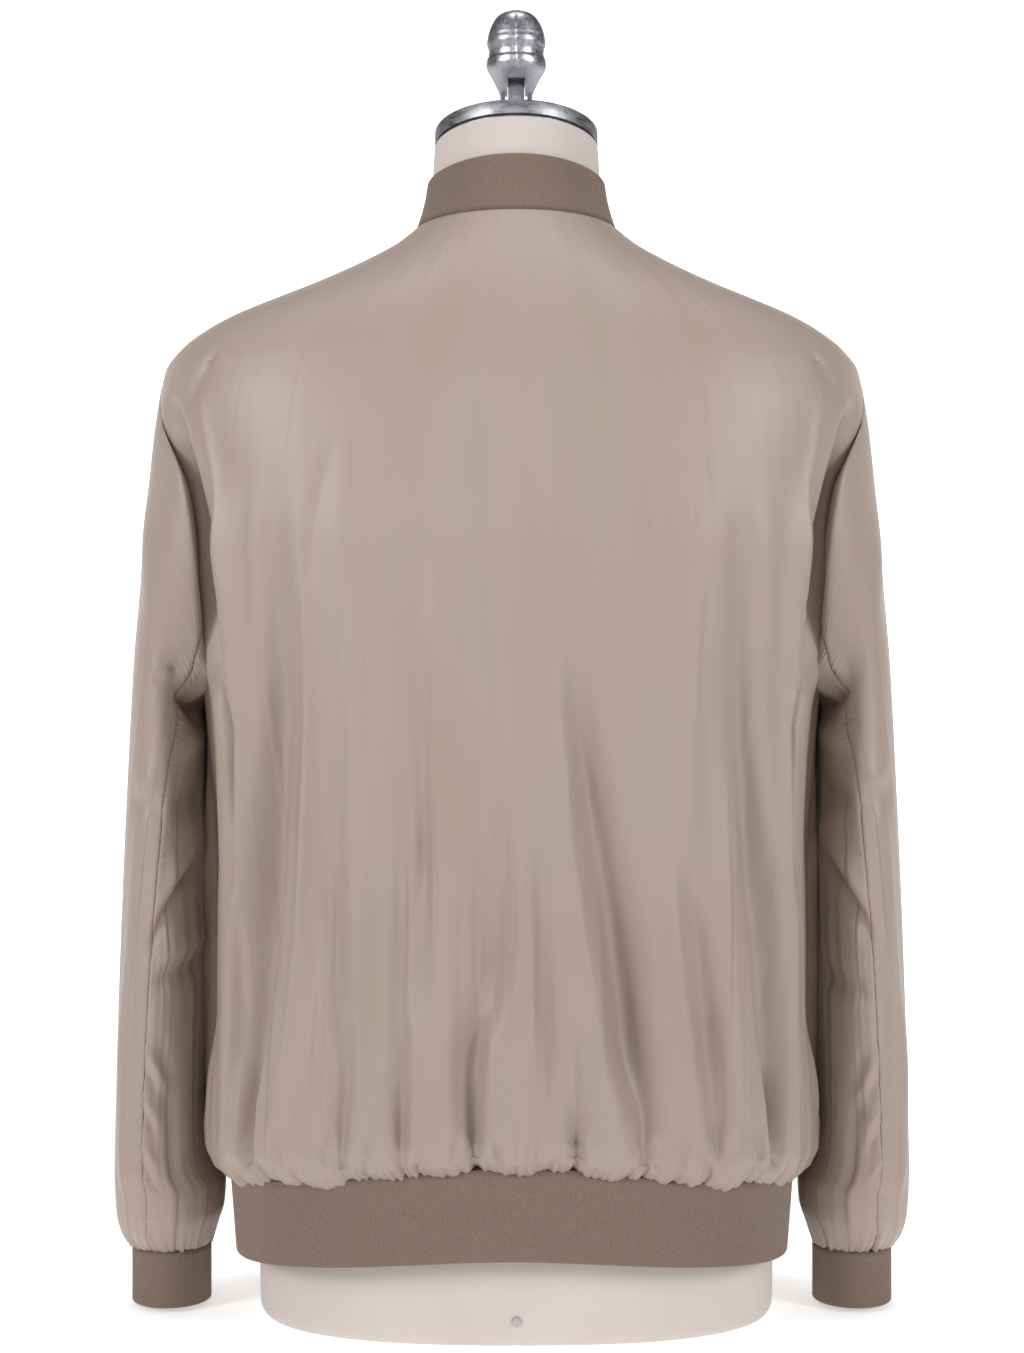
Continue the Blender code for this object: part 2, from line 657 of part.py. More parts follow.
def make_sleeve(side):
    make_sleeve_piece(
        f"sleeve_{side}_top", side, TOP_SLEEVE_COLUMNS,
        lambda ring: FRONT_SEAM_COLUMN - SLEEVE_AROUND,
        lambda ring: BACK_SEAM_COLUMNS[ring],
    )
    make_sleeve_piece(
        f"sleeve_{side}_under", side, UNDER_SLEEVE_COLUMNS,
        lambda ring: BACK_SEAM_COLUMNS[ring],
        lambda ring: FRONT_SEAM_COLUMN,
    )


# ---------------------------------------------------------------- front zip
def zip_rows():
    """Pairs of surface and height for the zip's rows, from the hem's bottom to the neck seam."""
    hem_rows = [(hem_point, share) for share in (0.02, 0.5, 1.0)]
    body_rows = [(body_point, level) for level in body_levels()[2:]]
    return [*hem_rows, *body_rows]


def zip_spot(surface, height, x, depth):
    level = HEM_LEVEL if surface is hem_point else height
    angle = front_edge(level, x)
    if surface is hem_point:
        normal = Vector((0.0, 1.0, 0.0))
    else:
        normal = body_normal(angle, height)
        normal = Vector((0.0, normal.y, normal.z)).normalized()
    return Spot(surface(angle, height) - normal * depth, normal)


def make_zip_strip(name, finish, edges, wall, depth_at):
    spots = []
    for surface, height in zip_rows():
        depth = depth_at(surface)
        spots.append([zip_spot(surface, height, x, depth) for x in edges])
    return wall_from_spots(name, finish, spots, wall)


def tape_depth(surface):
    return (RIB_WALL if surface is hem_point else CLOTH_WALL) + ZIP_TAPE_GAP


def make_zip_strips():
    inner, outer = 0.5 * SEAM_GAP, 0.5 * SEAM_GAP + ZIP_TAPE_WIDTH
    make_zip_strip("zip_tape_right", "zip_tape", (inner, outer), ZIP_TAPE_WALL, tape_depth)
    make_zip_strip("zip_tape_left", "zip_tape", (-outer, -inner), ZIP_TAPE_WALL, tape_depth)
    chain_edges = (-ZIP_CHAIN_HALF_WIDTH, ZIP_CHAIN_HALF_WIDTH)
    make_zip_strip("zip_chain", "zip_metal", chain_edges, ZIP_CHAIN_WALL, lambda s: -ZIP_CHAIN_PROUD)


def slider_frame():
    """The slider's place on the chain: its centre, the way out of the cloth and the way up."""
    angle = front_edge(SLIDER_LEVEL, 0.0)
    normal = body_normal(angle, SLIDER_LEVEL)
    out = Vector((0.0, normal.y, normal.z)).normalized()
    across = Vector((1.0, 0.0, 0.0))
    up = across.cross(out).normalized()
    if up.z < 0.0:
        up = -up
    centre = body_point(angle, SLIDER_LEVEL)
    return centre, out, up


def box_solid(name, finish, centre, size, axes):
    """A box whose sides lie along three given axes."""
    bm = bmesh.new()
    bmesh.ops.create_cube(bm, size=1.0)
    turn = Matrix(axes).transposed().to_4x4()
    bm.transform(Matrix.Translation(centre) @ turn @ Matrix.Diagonal((*size, 1.0)))
    return object_from_bmesh(bm, name, finish)


def rod_solid(name, finish, centre, radius, length, way, segments=16):
    bm = bmesh.new()
    bmesh.ops.create_cone(
        bm, cap_ends=True, segments=segments, radius1=radius, radius2=radius, depth=length
    )
    turn = Vector((0.0, 0.0, 1.0)).rotation_difference(way).to_matrix().to_4x4()
    bm.transform(Matrix.Translation(centre) @ turn)
    return object_from_bmesh(bm, name, finish)


def combine(base, tool, operation):
    """Adds an exact Boolean with a tool that stays in the scene as a hidden guide."""
    modifier = base.modifiers.new(f"{operation.lower()} {tool.name}", "BOOLEAN")
    modifier.operation = operation
    modifier.solver = "EXACT"
    modifier.object = tool
    tool.hide_render = True
    tool.display_type = "WIRE"


def soften(thing, width, segments=2):
    bevel = thing.modifiers.new("bevel", "BEVEL")
    bevel.width = width
    bevel.segments = segments
    bevel.limit_method = "ANGLE"


def make_slider_and_pull():
    centre, out, up = slider_frame()
    across = Vector((1.0, 0.0, 0.0))
    axes = (across, up, out)
    body_out = ZIP_CHAIN_PROUD + SLIDER_GAP
    height = SLIDER_SIZE[2]
    slider = box_solid("zip_slider", "zip_metal", centre + out * (body_out + 0.5 * height),
                       SLIDER_SIZE, axes)
    soften(slider, 0.0005)
    top = body_out + height
    lug_width, lug_length, lug_height = SLIDER_LUG
    pin_out = top + lug_height - 0.5 * lug_length
    pin_centre = centre + out * pin_out
    for number, x in enumerate((-SLIDER_LUG_X, SLIDER_LUG_X)):
        middle = centre + across * x + out * (top + 0.5 * lug_height - UNION_BITE)
        lug = box_solid(f"lug_guide_{number}", "zip_metal", middle,
                        (lug_width, lug_length, lug_height + 2.0 * UNION_BITE), axes)
        combine(slider, lug, "UNION")
    pin = rod_solid("pin_guide", "zip_metal", pin_centre, PIN_RADIUS, 2.0 * SLIDER_LUG_X, across)
    combine(slider, pin, "UNION")

    # The pull hangs from the pin and leans on the chain at its free end.
    lower_level = SLIDER_LEVEL - PULL_LEAN_DROP
    lower_angle = front_edge(lower_level, 0.0)
    rest_spot = body_point(lower_angle, lower_level)
    rest_out = body_normal(lower_angle, lower_level)
    lean = rest_spot + rest_out * (ZIP_CHAIN_PROUD + SEAM_GAP + 0.5 * PULL_SIZE[2]) - pin_centre
    down = Vector((0.0, lean.y, lean.z)).normalized()
    face = across.cross(down).normalized()
    barrel = rod_solid("zip_pull", "zip_metal", pin_centre, PULL_BARREL_RADIUS,
                       PULL_BARREL_LENGTH, across)
    tab_width, tab_length, tab_thickness = PULL_SIZE
    neck_centre = pin_centre + down * (PULL_BORE_RADIUS + UNION_BITE + 0.5 * PULL_NECK)
    neck = box_solid("neck_guide", "zip_metal", neck_centre,
                     (PULL_BARREL_LENGTH - UNION_BITE, PULL_NECK, tab_thickness),
                     (across, down, face))
    tab_centre = neck_centre + down * (0.5 * PULL_NECK + 0.5 * tab_length - UNION_BITE)
    tab = box_solid("tab_guide", "zip_metal", tab_centre, PULL_SIZE, (across, down, face))
    bore = rod_solid("bore_guide", "zip_metal", pin_centre, PULL_BORE_RADIUS,
                     2.0 * PULL_BARREL_LENGTH, across)
    combine(barrel, neck, "UNION")
    combine(barrel, tab, "UNION")
    combine(barrel, bore, "DIFFERENCE")
    print("zip pull pin centre", [round(value, 6) for value in pin_centre])


# ---------------------------------------------------------------- dress form
def cap_plane_z(y):
    return CAP_SEAT_Z - math.tan(CAP_TILT) * (y - NECK_CENTRE_Y)


def seated_form_ring(level, angles):
    """A ring of the form's shoulders and chest, just under the jacket that hangs on it."""
    ring = []
    for angle in angles:
        point = plain_body_point(angle, level)
        relief = math.exp(-((point.x / ZIP_RELIEF_REACH) ** 2)) if math.sin(angle) > 0.0 else 0.0
        depth = CLOTH_WALL + FORM_CLEARANCE + ZIP_RELIEF * relief
        ring.append(point - outward(plain_body_point, angle, level, 0.01, 0.001) * depth)
    return ring


def inset_ring(points, depth):
    """The points moved level towards the neck's centre."""
    centre = Vector((0.0, NECK_CENTRE_Y, 0.0))
    moved = []
    for point in points:
        way = Vector((point.x - centre.x, point.y - centre.y, 0.0)).normalized()
        moved.append(point - way * depth)
    return moved


def neck_rings(angles):
    """Rings of the neck: inside the collar first, then up to the plane of the cap."""
    depth = RIB_WALL + NECK_CLEARANCE
    rings = []
    for share in NECK_COLLAR_SHARES:
        rings.append(inset_ring([collar_point(angle, share) for angle in angles], depth))
    foot = rings[-1]
    for share in NECK_TOP_SHARES:
        ring = []
        for start in foot:
            way = Vector((start.x, start.y - NECK_CENTRE_Y, 0.0)).normalized()
            rim = Vector((0.0, NECK_CENTRE_Y, 0.0)) + way * NECK_TOP_RADIUS
            rim.z = cap_plane_z(rim.y)
            point = start.lerp(rim, share)
            bulge = 1.0 - share
            point.x = rim.x + (start.x - rim.x) * bulge * (2.0 - bulge)
            ring.append(point)
        rings.append(ring)
    return rings


def make_form_torso():
    angles = [2.0 * math.pi * step / FORM_AROUND for step in range(FORM_AROUND)]
    rings = []
    for section in FORM_SECTIONS:
        ring = [oval_point(a, section.half_width, section.back, section.front,
                           section.squareness, section.z) for a in angles]
        rings.append(ring)
    for level in SEATED_LEVELS:
        rings.append(seated_form_ring(level, angles))
    rings += neck_rings(angles)
    bm = bmesh.new()
    loops = []
    for ring in rings:
        loops.append([bm.verts.new(point) for point in ring])
    for lower, upper in zip(loops, loops[1:]):
        for step in range(FORM_AROUND):
            after = (step + 1) % FORM_AROUND
            bm.faces.new((lower[step], lower[after], upper[after], upper[step]))
    bm.faces.new(list(reversed(loops[0])))
    bm.faces.new(loops[-1])
    return object_from_bmesh(bm, "form_torso", "linen")


def make_neck_cap():
    axis = Vector((0.0, math.sin(CAP_TILT), math.cos(CAP_TILT)))
    seat = Vector((0.0, NECK_CENTRE_Y, CAP_SEAT_Z))
    centre = seat + axis * (CAP_GAP + 0.5 * CAP_THICKNESS)
    cap = rod_solid("neck_cap", "cast_metal", centre, CAP_RADIUS, CAP_THICKNESS, axis, segments=56)
    soften(cap, CAP_BEVEL)
    lug_bottom = centre.z
    lug_centre = Vector((0.0, NECK_CENTRE_Y, 0.5 * (lug_bottom + LUG_TOP)))
    level_axes = (Vector((1.0, 0.0, 0.0)), Vector((0.0, 1.0, 0.0)), Vector((0.0, 0.0, 1.0)))
    lug = box_solid("cap_lug_guide", "cast_metal", lug_centre,
                    (*LUG_SIZE, LUG_TOP - lug_bottom), level_axes)
    combine(cap, lug, "UNION")


def make_knob():
    bm = bmesh.new()
    outline = [(0.0, KNOB_BOTTOM), *KNOB_PROFILE, (0.0, KNOB_TOP)]
    verts = [bm.verts.new((radius, 0.0, z)) for radius, z in outline]
    edges = [bm.edges.new(pair) for pair in zip(verts, verts[1:])]
    bmesh.ops.spin(bm, geom=verts + edges, cent=(0, 0, 0), axis=(0, 0, 1), dvec=(0, 0, 0),
                   angle=2.0 * math.pi, steps=KNOB_STEPS, use_merge=True)
    bmesh.ops.remove_doubles(bm, verts=bm.verts[:], dist=1e-6)
    bm.transform(Matrix.Translation((0.0, NECK_CENTRE_Y, 0.0)))
    knob = object_from_bmesh(bm, "knob", "cast_metal")
    level_axes = (Vector((1.0, 0.0, 0.0)), Vector((0.0, 1.0, 0.0)), Vector((0.0, 0.0, 1.0)))
    for name, (width, top) in (("slot_guide", KNOB_SLOT), ("recess_guide", KNOB_RECESS)):
        bottom = KNOB_BOTTOM - 0.005
        centre = Vector((0.0, NECK_CENTRE_Y, 0.5 * (bottom + top)))
        cutter = box_solid(name, "cast_metal", centre, (width, 0.06, top - bottom), level_axes)
        combine(knob, cutter, "DIFFERENCE")


def make_base_tack():
    section_back = SmoothTable(FORM_SECTIONS, "z").at(TACK_Z)["back"]
    y = -(section_back + SEAM_GAP + 0.5 * TACK_THICKNESS)
    tack = rod_solid("base_tack", "cast_metal", Vector((0.0, y, TACK_Z)), TACK_RADIUS,
                     TACK_THICKNESS, Vector((0.0, -1.0, 0.0)), segments=14)
    soften(tack, 0.0003, segments=1)


clear_scene()
make_back()
make_front("front_right", front_right_angles, 0)
make_front("front_left", front_left_angles, FRONT_COLUMNS)
for side_name in ("left", "right"):
    make_sleeve(side_name)
    make_cuff(f"cuff_{side_name}", side_name)
make_band("hem_rib", hem_point, HEM_LEVEL, HEM_ROWS, seam_on_top=True)
make_band("collar_rib", collar_point, NECK_LEVEL, COLLAR_ROWS, seam_on_top=False)
make_zip_strips()
make_slider_and_pull()
make_form_torso()
make_neck_cap()
make_knob()
make_base_tack()
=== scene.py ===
# %% [markdown]
# # A bomber jacket on a dress form
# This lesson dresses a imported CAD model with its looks. The jacket is satin with ribbed-knit
# collar, hem band and cuffs, and it hangs on a limbless linen form with a cast metal cap and
# knob. The CAD solids fix every size, so each cloth piece made here lies on the same surface as
# its solid, and only the folds, the seams and the finishes are new.

import math
from collections import namedtuple

import bmesh
import bpy
import numpy as np
from mathutils import Matrix, Vector


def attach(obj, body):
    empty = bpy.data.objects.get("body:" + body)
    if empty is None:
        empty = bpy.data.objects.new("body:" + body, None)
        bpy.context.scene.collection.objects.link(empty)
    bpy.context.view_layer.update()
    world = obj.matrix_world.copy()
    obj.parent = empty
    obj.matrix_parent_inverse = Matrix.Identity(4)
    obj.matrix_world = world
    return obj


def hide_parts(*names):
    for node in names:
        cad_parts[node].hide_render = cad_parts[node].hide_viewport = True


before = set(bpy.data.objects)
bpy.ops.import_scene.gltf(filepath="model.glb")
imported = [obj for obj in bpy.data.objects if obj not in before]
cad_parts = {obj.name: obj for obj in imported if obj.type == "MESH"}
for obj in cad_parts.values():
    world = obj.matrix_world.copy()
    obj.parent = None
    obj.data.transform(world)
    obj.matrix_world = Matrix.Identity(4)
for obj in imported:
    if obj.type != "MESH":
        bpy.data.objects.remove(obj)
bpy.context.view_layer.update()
JACKET_BODY = "jacket_and_form"

# %% [markdown]
# ## Reading a table smoothly
# A garment's shape is a short table: how wide and deep it is at a few heights. Straight lines
# between the rows would show as kinks in satin, and an ordinary spline can swing past its rows.
# A Hermite curve whose slope is zero at each turning point does neither. Here it reads all the
# vertices of a piece at once with numpy, because a fine cloth mesh has tens of thousands.

# %% A table reader
def smooth_reader(rows):
    """A function that reads a table at any keys. The first column is the key."""
    table = np.array(rows, float)
    keys, values = table[:, 0], table[:, 1:]
    steps = np.diff(keys)[:, None]
    rates = np.diff(values, axis=0) / steps
    slopes = np.vstack((rates[:1], np.zeros_like(rates[1:]), rates[-1:]))
    before, after = rates[:-1], rates[1:]
    same_way = before * after > 0.0
    total = np.where(same_way, before + after, 1.0)
    slopes[1:-1] = np.where(same_way, 2.0 * before * after / total, 0.0)

    def read(at):
        at = np.clip(np.asarray(at, float), keys[0], keys[-1])
        row = np.clip(np.searchsorted(keys, at, side="right") - 1, 0, len(keys) - 2)
        step = steps[row]
        t = (at - keys[row])[:, None] / step
        near = (2 * t**3 - 3 * t**2 + 1) * values[row] + (t**3 - 2 * t**2 + t) * slopes[row] * step
        far = (3 * t**2 - 2 * t**3) * values[row + 1] + (t**3 - t**2) * slopes[row + 1] * step
        return near + far

    return read


def smoothstep(low, high, value):
    share = np.clip((np.asarray(value, float) - low) / (high - low), 0.0, 1.0)
    return share * share * (3.0 - 2.0 * share)


# %% [markdown]
# ## The body's surface
# Back and fronts are patches of one surface, read by an angle round the jacket and a level up
# it. The level is the height at the sides, from the hem seam to the neck seam. The numbers are
# the CAD source's own, because the cloth has to lie where its solid lies.

# %% The body's sizes
HEM_LEVEL, NECK_LEVEL = 0.0860, 0.7267
HEM_RISE = {"back": 0.0235, "front": 0.004}
NECK_RISE = {"back": 0.0025, "front": -0.0327}
JACKET_SHIFT = -0.003
SHIFT_END_LEVEL = 0.6440
SEAM_GAP = 0.0003
FRONT_HALF_GAP = 0.004

# level, half width, depth behind, depth ahead, squareness of the oval
BODY_SECTIONS = (
    (0.0860, 0.1855, 0.1380, 0.1270, 3.00), (0.0900, 0.1920, 0.1445, 0.1295, 2.90),
    (0.0940, 0.1985, 0.1485, 0.1310, 2.80), (0.1140, 0.2050, 0.1520, 0.1335, 2.70),
    (0.2040, 0.2055, 0.1500, 0.1300, 2.60), (0.3040, 0.2050, 0.1470, 0.1250, 2.60),
    (0.3640, 0.2052, 0.1468, 0.1255, 2.60), (0.4140, 0.2080, 0.1473, 0.1275, 2.60),
    (0.4540, 0.2145, 0.1478, 0.1295, 2.60), (0.5040, 0.2220, 0.1480, 0.1300, 2.60),
    (0.5540, 0.2310, 0.1445, 0.1240, 2.50), (0.6040, 0.2375, 0.1370, 0.1150, 2.50),
    (0.6290, 0.2338, 0.1310, 0.1090, 2.45), (0.6440, 0.2232, 0.1260, 0.1040, 2.40),
    (0.6560, 0.2075, 0.1200, 0.0990, 2.40), (0.6654, 0.1910, 0.1150, 0.0960, 2.35),
    (0.6742, 0.1705, 0.1100, 0.0930, 2.30), (0.6871, 0.1385, 0.1020, 0.0870, 2.25),
    (0.7019, 0.1062, 0.0920, 0.0790, 2.20), (0.7140, 0.0842, 0.0835, 0.0725, 2.15),
    (0.7267, 0.0680, 0.0750, 0.0660, 2.10),
)
read_body = smooth_reader(BODY_SECTIONS)

SIDE_TURN = math.radians(2.0)
ARMHOLE_LOW, ARMHOLE_HIGH = 0.4140, 0.6290
ARMHOLE_SPREAD = math.radians(17.5)


# %% The body without its folds
def oval_radius(angle, half_width, depth, squareness):
    across = np.abs(np.cos(angle)) / half_width
    along = np.abs(np.sin(angle)) / depth
    return (across**squareness + along**squareness) ** (-1.0 / squareness)


def oval_points(angle, half_width, back, front, squareness, z):
    depth = np.where(np.sin(angle) > 0.0, front, back)
    radius = oval_radius(angle, half_width, depth, squareness)
    return np.column_stack((radius * np.cos(angle), radius * np.sin(angle), z))


def body_height(angle, level):
    share = (level - HEM_LEVEL) / (NECK_LEVEL - HEM_LEVEL)
    facing = np.sin(angle)
    hem_rise = np.where(facing > 0.0, HEM_RISE["front"], HEM_RISE["back"])
    neck_rise = np.where(facing > 0.0, NECK_RISE["front"], NECK_RISE["back"])
    return level + facing**2 * (hem_rise * (1.0 - share) ** 3 + neck_rise * share**3)


def body_plain(angle, level):
    half_width, back, front, squareness = read_body(level).T
    points = oval_points(angle, half_width, back, front, squareness, body_height(angle, level))
    points[:, 0] += JACKET_SHIFT * (1.0 - smoothstep(SHIFT_END_LEVEL, NECK_LEVEL, level))
    return points


def unit(ways):
    return ways / np.maximum(np.linalg.norm(ways, axis=1), 1e-12)[:, None]


def facing_out(surface, first, second, first_step, second_step):
    """The unit normals of surface(first, second)."""
    along = surface(first + first_step, second) - surface(first - first_step, second)
    up = surface(first, second + second_step) - surface(first, second - second_step)
    return unit(np.cross(along, up))


ANGLE_STEP, LEVEL_STEP, LEVEL_MARGIN = 0.01, 0.001, 0.0011


def body_out(angle, level):
    inside = np.clip(level, HEM_LEVEL + LEVEL_MARGIN, NECK_LEVEL - LEVEL_MARGIN)
    return facing_out(body_plain, angle, inside, ANGLE_STEP, LEVEL_STEP)


# %% Distance round the jacket
BACK_CENTRE = math.radians(270.0)
TURN = 2.0 * math.pi
ROUND_ANGLES = np.radians(np.linspace(0.0, 720.0, 1441))


def lengths_along(line):
    """How far each point of a line is from its first, measured along the line."""
    return np.concatenate(([0.0], np.cumsum(np.linalg.norm(np.diff(line, axis=0), axis=1))))


_ring = body_plain(ROUND_ANGLES, np.full(len(ROUND_ANGLES), 0.5 * (HEM_LEVEL + ARMHOLE_LOW)))
ROUND_WAYS = lengths_along(_ring[:, :2])
ROUND_WAYS -= np.interp(BACK_CENTRE, ROUND_ANGLES, ROUND_WAYS)
HALF_ROUND = float(np.interp(BACK_CENTRE + math.pi, ROUND_ANGLES, ROUND_WAYS))
print("half way round the body", round(HALF_ROUND, 3), "m")


def way_of(angle):
    """Metres round the jacket from the middle of the back, towards +X first."""
    return np.interp(angle, ROUND_ANGLES, ROUND_WAYS)


# %% [markdown]
# ## Folds listed one by one
# A cloth simulation gives folds, but not these folds. Each one the jacket shows is drawn here as
# a line on the cloth: millimetres round the jacket, millimetres up, then its height and its reach
# in millimetres. A height above zero is a ridge and one below is a trough. A second reach is for
# the far side of a fold that is steeper on one side. A crisp fold has a sharp crest, as a ridge
# pulled tight has, and a soft one is rounded.

# %% What one fold does to the cloth
Fold = namedtuple("Fold", "crisp line")
SOFT, FIRM, CRISP = 2.0, 0.6, 0.2
MM = 0.001


def metres(millimetres):
    return millimetres / 1000.0


def folds_of(table, across_of=metres):
    """Folds from rows of (how crisp, points). across_of gives a point's metres across."""
    return [
        Fold(crisp, [(across_of(across), metres(up), *rest) for across, up, *rest in points])
        for crisp, *points in table
    ]


def fold_lift(across, up, folds):
    """How far the folds lift the cloth at flat places."""
    total = np.zeros_like(across)
    for fold in folds:
        line = np.array([(*row, *row[3:])[:5] for row in fold.line], float)
        nearest = np.full(across.shape, 1e9)
        height = np.zeros_like(across)
        reach = np.ones_like(across)
        for start, end in zip(line, line[1:]):
            run = end[:2] - start[:2]
            share = ((across - start[0]) * run[0] + (up - start[1]) * run[1]) / (run @ run)
            share = np.clip(share, 0.0, 1.0)
            beside = across - start[0] - share * run[0]
            away = np.hypot(beside, up - start[1] - share * run[1])
            closer = away < nearest
            eased = share * share * (3.0 - 2.0 * share)
            nearest = np.where(closer, away, nearest)
            height = np.where(closer, start[2] + (end[2] - start[2]) * eased, height)
            column = np.where(beside < 0.0, 3, 4)
            reach = np.where(closer, start[column] + (end[column] - start[column]) * share, reach)
        ratio = nearest / (reach * MM)
        crisp = fold.crisp
        fall = (np.sqrt(ratio**2 + crisp**2) - crisp) / (math.hypot(1.0, crisp) - crisp)
        total += height * MM * np.exp(-fall)
    return total


# %% [markdown]
# ## The folds of the body
# The cloth hangs from the shoulder blades and is drawn in by the hem band, so most folds are
# long, nearly upright and deepest near the hem. Beside each armhole a tight ridge stands next
# to a deep hollow. The fronts and the sides get folds of the same kind.

